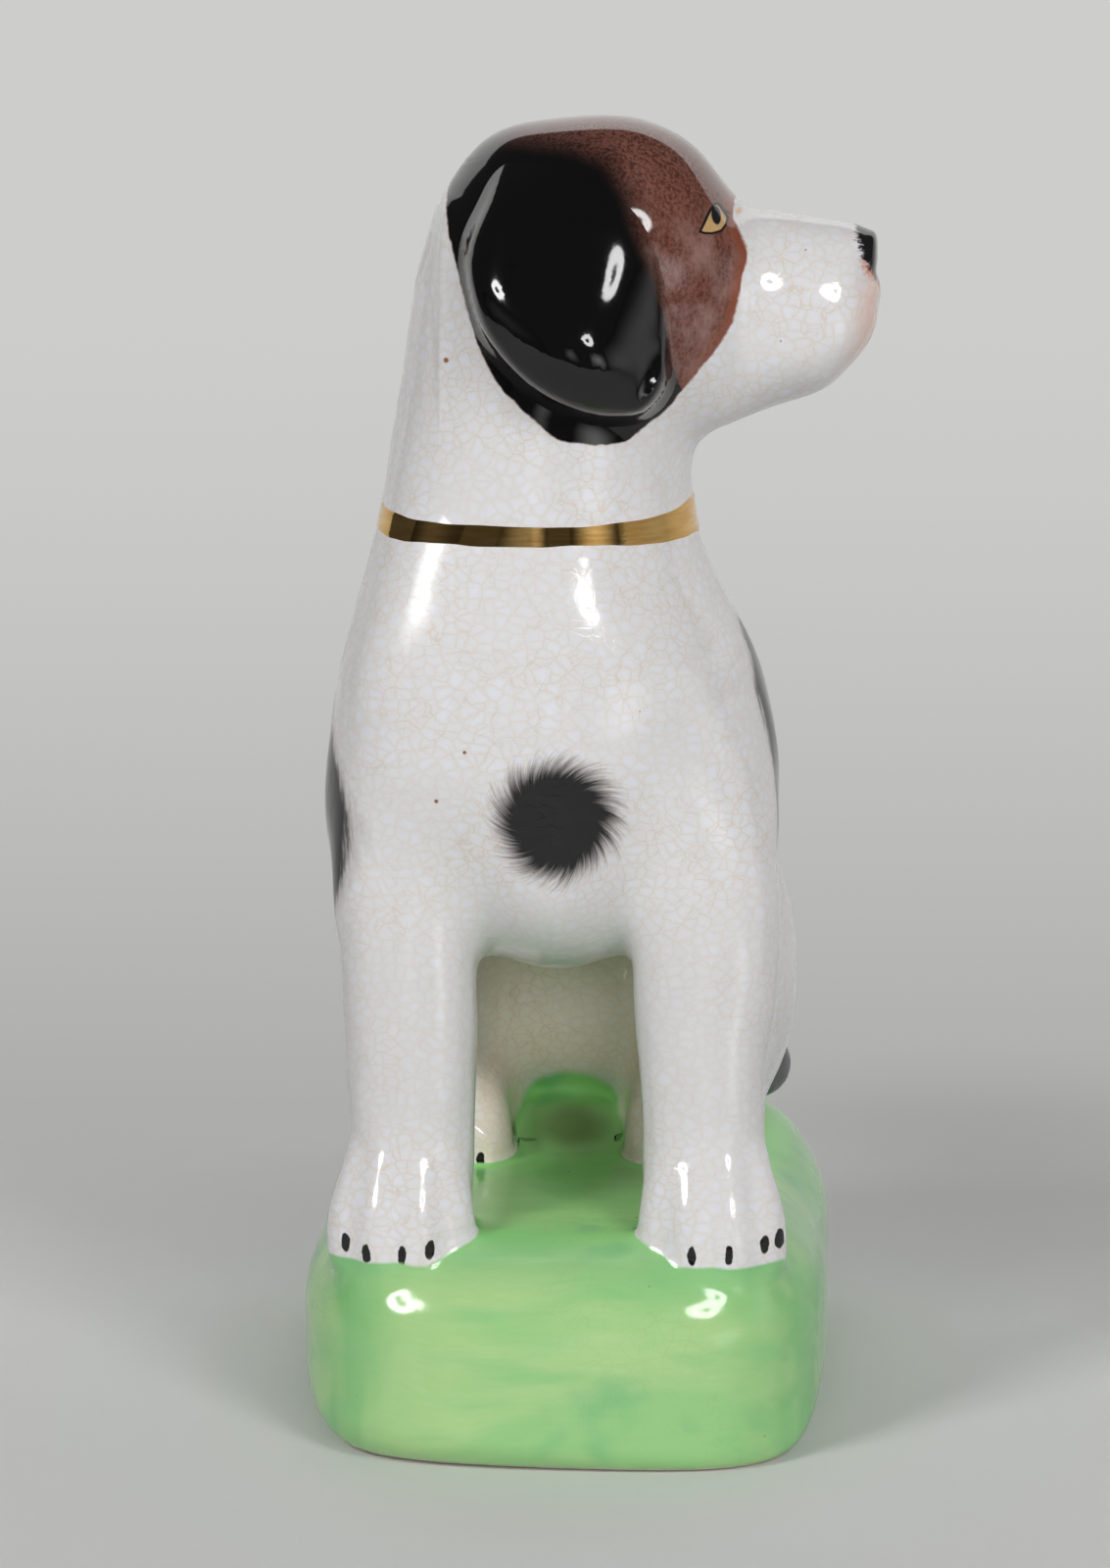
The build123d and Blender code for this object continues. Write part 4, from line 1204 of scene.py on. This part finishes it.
for shell, lift in ((0, 0.16), (1, -0.5)):
    for j in range(across):
        t = j / (across - 1)
        zz = down + (up - down) * t
        edge = min(t, 1 - t) * (across - 1)
        off = lift if shell or edge >= 1 else -0.06
        cx, a, b = tube.section(np.full(turns, -14.2), zz)[:3]
        cy = np.interp(zz, tube.cols[2], tube.cols[1])
        k = np.where((np.cos(ang) < 0) & (np.sin(ang) < 0), tube.power(zz), 2.0)
        ux_, uy_ = (np.sign(w) * np.abs(w) ** (2 / k) for w in (np.cos(ang), np.sin(ang)))
        n = np.stack([np.sign(ux_) * np.abs(ux_) ** (k - 1) / a, np.sign(uy_) * np.abs(uy_) ** (k - 1) / b, np.zeros(turns)], 1)
        n /= np.linalg.norm(n, axis=1)[:, None]
        q = np.stack([cx + a * ux_, cy + b * uy_, zz], 1) + n * off
        verts.append(q)
        norms.append(n if not shell else -n)
verts, norms = np.concatenate(verts), np.concatenate(norms)
tri = []
idx = lambda s, j, i: s * across * turns + j * turns + i % turns
for i in range(turns):
    for j in range(across - 1):
        a, b, c, d = idx(0, j, i), idx(0, j, i + 1), idx(0, j + 1, i + 1), idx(0, j + 1, i)
        tri += [(a, b, c), (a, c, d)]
        a, b, c, d = idx(1, j, i), idx(1, j, i + 1), idx(1, j + 1, i + 1), idx(1, j + 1, i)
        tri += [(a, c, b), (a, d, c)]
    a, b, c, d = idx(0, 0, i), idx(0, 0, i + 1), idx(1, 0, i + 1), idx(1, 0, i)
    tri += [(a, c, b), (a, d, c)]
    a, b, c, d = idx(0, across - 1, i), idx(0, across - 1, i + 1), idx(1, across - 1, i + 1), idx(1, across - 1, i)
    tri += [(a, b, c), (a, c, d)]
make("gilt_band", (verts, norms, np.array(tri), np.zeros((0, 3), int)), gilding(), ["gilt_collar"], "gilt")

# ------------------------------------------------------------------------------------------ stage, light, camera
profile = [(-0.46, 0.0), (0.17, 0.0)]
for k in range(1, 13):
    t = math.pi / 2 * k / 12
    profile.append((0.17 + 0.26 * math.sin(t), 0.26 - 0.26 * math.cos(t)))
profile += [(0.43, 0.26 + 0.045 * k) for k in range(1, 9)]
me = bpy.data.meshes.new("bounce_sheet")
vs = [(sx, yy, zz) for yy, zz in profile for sx in (-0.6, 1.6)]
me.from_pydata(vs, [], [(2 * i, 2 * i + 1, 2 * i + 3, 2 * i + 2) for i in range(len(profile) - 1)])
for poly in me.polygons:
    poly.use_smooth = True
m = Paint("bounce_paper")
tone = m.math("MULTIPLY_ADD", m.noise(m.p, 0.004, 2.0), 0.2, m.step(m.y, -330.0, 260.0))
me.materials.append(
    m.finish(
        base_color=m.mix(tone, (0.615, 0.618, 0.613), (0.775, 0.775, 0.767)),
        roughness=0.85,
        emission_color=(1.0, 1.0, 0.99),
        emission_strength=m.math("MAXIMUM", m.math("MULTIPLY_ADD", m.z, 0.0019, -0.266), 0.0),
    )
)
sheet = bpy.data.objects.new("bounce_sheet", me)
sheet.location = (0.0, 0.0, -0.0002)
sheet.visible_camera = sheet.visible_shadow = False
bpy.context.scene.collection.objects.link(sheet)

# floor: a wide pale dish, lit by the lamps near the figure and evenly bright far off, the same from every side but for
# a painted shadow behind the figure on the right
rings = [(0.02, 0.0), (0.2, 0.0), (0.6, 0.0), (1.5, 0.0), (3.0, 0.0), (4.2, 0.0), (4.6, 0.06), (4.85, 0.22), (5.0, 0.55), (5.0, 3.0)]
around = 96
vs = [(rr * math.cos(2 * math.pi * k / around), rr * math.sin(2 * math.pi * k / around), zz) for rr, zz in rings for k in range(around)]
quads = [
    (i * around + k, (i + 1) * around + k, (i + 1) * around + (k + 1) % around, i * around + (k + 1) % around)
    for i in range(len(rings) - 1)
    for k in range(around)
]
me = bpy.data.meshes.new("pale_floor")
me.from_pydata(vs, [], [tuple(range(around))] + quads)
m = Paint("pale_paper")
away = m.vec("LENGTH", m.xyz(m.x, m.y, 0.0))
near = m.math("MULTIPLY", m.step(m.y, 150.0, 60.0), m.step(away, 420.0, 160.0))
off = m.math("MAXIMUM", m.y, m.math("SUBTRACT", away, 30.0))
# painted shadow: a soft dark patch on the floor behind the figure to the right, taken off both the glow and the paper
# tone
shade = m.vec("LENGTH", m.vec("MULTIPLY", m.vec("SUBTRACT", m.p, (58.0, 100.0, 0.0)), (1 / 65.0, 1 / 105.0, 0.0)))
shade = m.step(shade, 1.0, 0.0)
glow = m.math("MULTIPLY_ADD", m.math("EXPONENT", m.math("MULTIPLY_ADD", off, -1 / 451.0, 150.0 / 451.0)), -0.194, 0.612)
glow = m.math("MULTIPLY_ADD", shade, -0.085, glow)
tone = m.math("MULTIPLY_ADD", m.noise(m.p, 0.004, 2.0), 0.2, m.step(m.y, -330.0, 260.0))
tone = m.mix(tone, (0.615, 0.618, 0.613), (0.775, 0.775, 0.767))
tone = m.mix(m.math("MULTIPLY", shade, 0.13), tone, (0.0, 0.0, 0.0))
me.materials.append(
    m.finish(
        base_color=m.mix(near, (0.0, 0.0, 0.0), tone),
        roughness=0.85,
        specular_ior_level=m.math("MULTIPLY", near, 0.5),
        emission_color=(1.0, 1.0, 0.99),
        emission_strength=m.math("MULTIPLY", glow, m.math("SUBTRACT", 1.0, near)),
    )
)
floor = bpy.data.objects.new("pale_floor", me)
floor.visible_diffuse = floor.visible_glossy = floor.visible_transmission = floor.visible_shadow = False
bpy.context.scene.collection.objects.link(floor)


def hang(ob, azimuth, height, away):
    """Sets a light at a distance from the figure, facing it, out of the camera's sight. Azimuth is from the front
    towards the figure's left, in degrees."""
    a, e = math.radians(azimuth), math.radians(height)
    ob.location = (away * math.sin(a) * math.cos(e), -away * math.cos(a) * math.cos(e), 0.09 + away * math.sin(e))
    ob.rotation_euler = (math.pi / 2 - e, 0.0, a)
    ob.visible_camera = False
    bpy.context.scene.collection.objects.link(ob)


def lamp(name, azimuth, height, distance, size, power, mirrored=True, core=None):
    """Soft round light, with a dark middle if it has a core."""
    light = bpy.data.lights.new(name, "AREA")
    light.shape, light.size, light.energy = "DISK", size, power
    ob = bpy.data.objects.new(name, light)
    ob.visible_glossy = mirrored
    hang(ob, azimuth, height, distance)
    if core:
        ring = [(core / 2 * math.cos(k * math.pi / 16), core / 2 * math.sin(k * math.pi / 16), 0.0) for k in range(32)]
        disc = bpy.data.meshes.new(name + "_core")
        disc.from_pydata(ring, [], [tuple(range(32))])
        disc.materials.append(DARK)
        ob = bpy.data.objects.new(name + "_core", disc)
        hang(ob, azimuth, height, distance - 0.02)


def card(name, azimuth, height, distance, width, tall, glow):
    """Pale card that glows and fades out to its edges."""
    m = Paint(name)
    fade = m.math("MULTIPLY", m.step(m.math("ABSOLUTE", m.x), 500.0 * width, 0.0), m.step(m.math("ABSOLUTE", m.y), 500.0 * tall, 0.0))
    me = bpy.data.meshes.new(name)
    w, h = width / 2, tall / 2
    me.from_pydata([(-w, -h, 0.0), (w, -h, 0.0), (w, h, 0.0), (-w, h, 0.0)], [], [(0, 1, 2, 3)])
    tone = m.mix(m.noise(m.p, 0.01, 2.0), (0.05, 0.05, 0.05), (0.06, 0.06, 0.06))
    me.materials.append(m.finish(base_color=tone, emission_color=(1.0, 1.0, 1.0), emission_strength=m.math("MULTIPLY", fade, glow)))
    ob = bpy.data.objects.new(name, me)
    ob.visible_shadow = False
    hang(ob, azimuth, height, distance)


m = Paint("dark_felt")
DARK = m.finish(base_color=m.mix(m.noise(m.p, 0.3, 3.0), (0.012, 0.012, 0.012), (0.020, 0.020, 0.020)), roughness=0.95)
lamp("soft_right", 31.0, 31.5, 1.05, 0.30, 3.6, core=0.10)
lamp("soft_left", -42.0, 31.0, 1.05, 0.30, 4.7, core=0.10)
lamp("fill", 8.0, 13.0, 1.5, 1.0, 7.6, mirrored=False)
lamp("back_left", -150.0, 32.0, 1.3, 0.9, 2.6, mirrored=False)
lamp("back_right", 150.0, 32.0, 1.3, 0.9, 2.6, mirrored=False)
figure = bpy.data.collections.new("figure")
for ob in [o for o in bpy.context.scene.collection.objects if o.name.startswith(("glazed_", "gilt_"))]:
    figure.objects.link(ob)
for name in ("back_left", "back_right"):
    bpy.data.objects[name].light_linking.receiver_collection = figure
card("card_left", -48.0, 4.0, 1.2, 1.1, 0.60, 0.22)
card("card_right", 40.0, 3.0, 1.1, 0.70, 0.50, 2.2)
card("card_middle", 0.0, 2.0, 1.1, 0.30, 0.50, 1.0)
card("card_side", 78.0, 6.0, 1.3, 1.5, 0.90, 0.75)
world = bpy.data.worlds.new("room")
world.use_nodes = True
world.node_tree.nodes["Background"].inputs[0].default_value = (0.06, 0.06, 0.06, 1.0)
world.node_tree.nodes["Background"].inputs[1].default_value = 1.0
bpy.context.scene.world = world
bpy.context.scene.view_settings.view_transform = "Standard"

cam = bpy.data.cameras.new("camera")
cam.lens, cam.sensor_width, cam.sensor_fit = 114.75, 36.0, "AUTO"
cam.clip_start, cam.clip_end = 0.05, 20.0
eye = bpy.data.objects.new("camera", cam)
eye.location = (0.0268, -0.6434, 0.1901)
eye.rotation_euler = (math.radians(90 - 9.8), 0.0, math.radians(2.66))
bpy.context.scene.collection.objects.link(eye)
bpy.context.scene.camera = eye
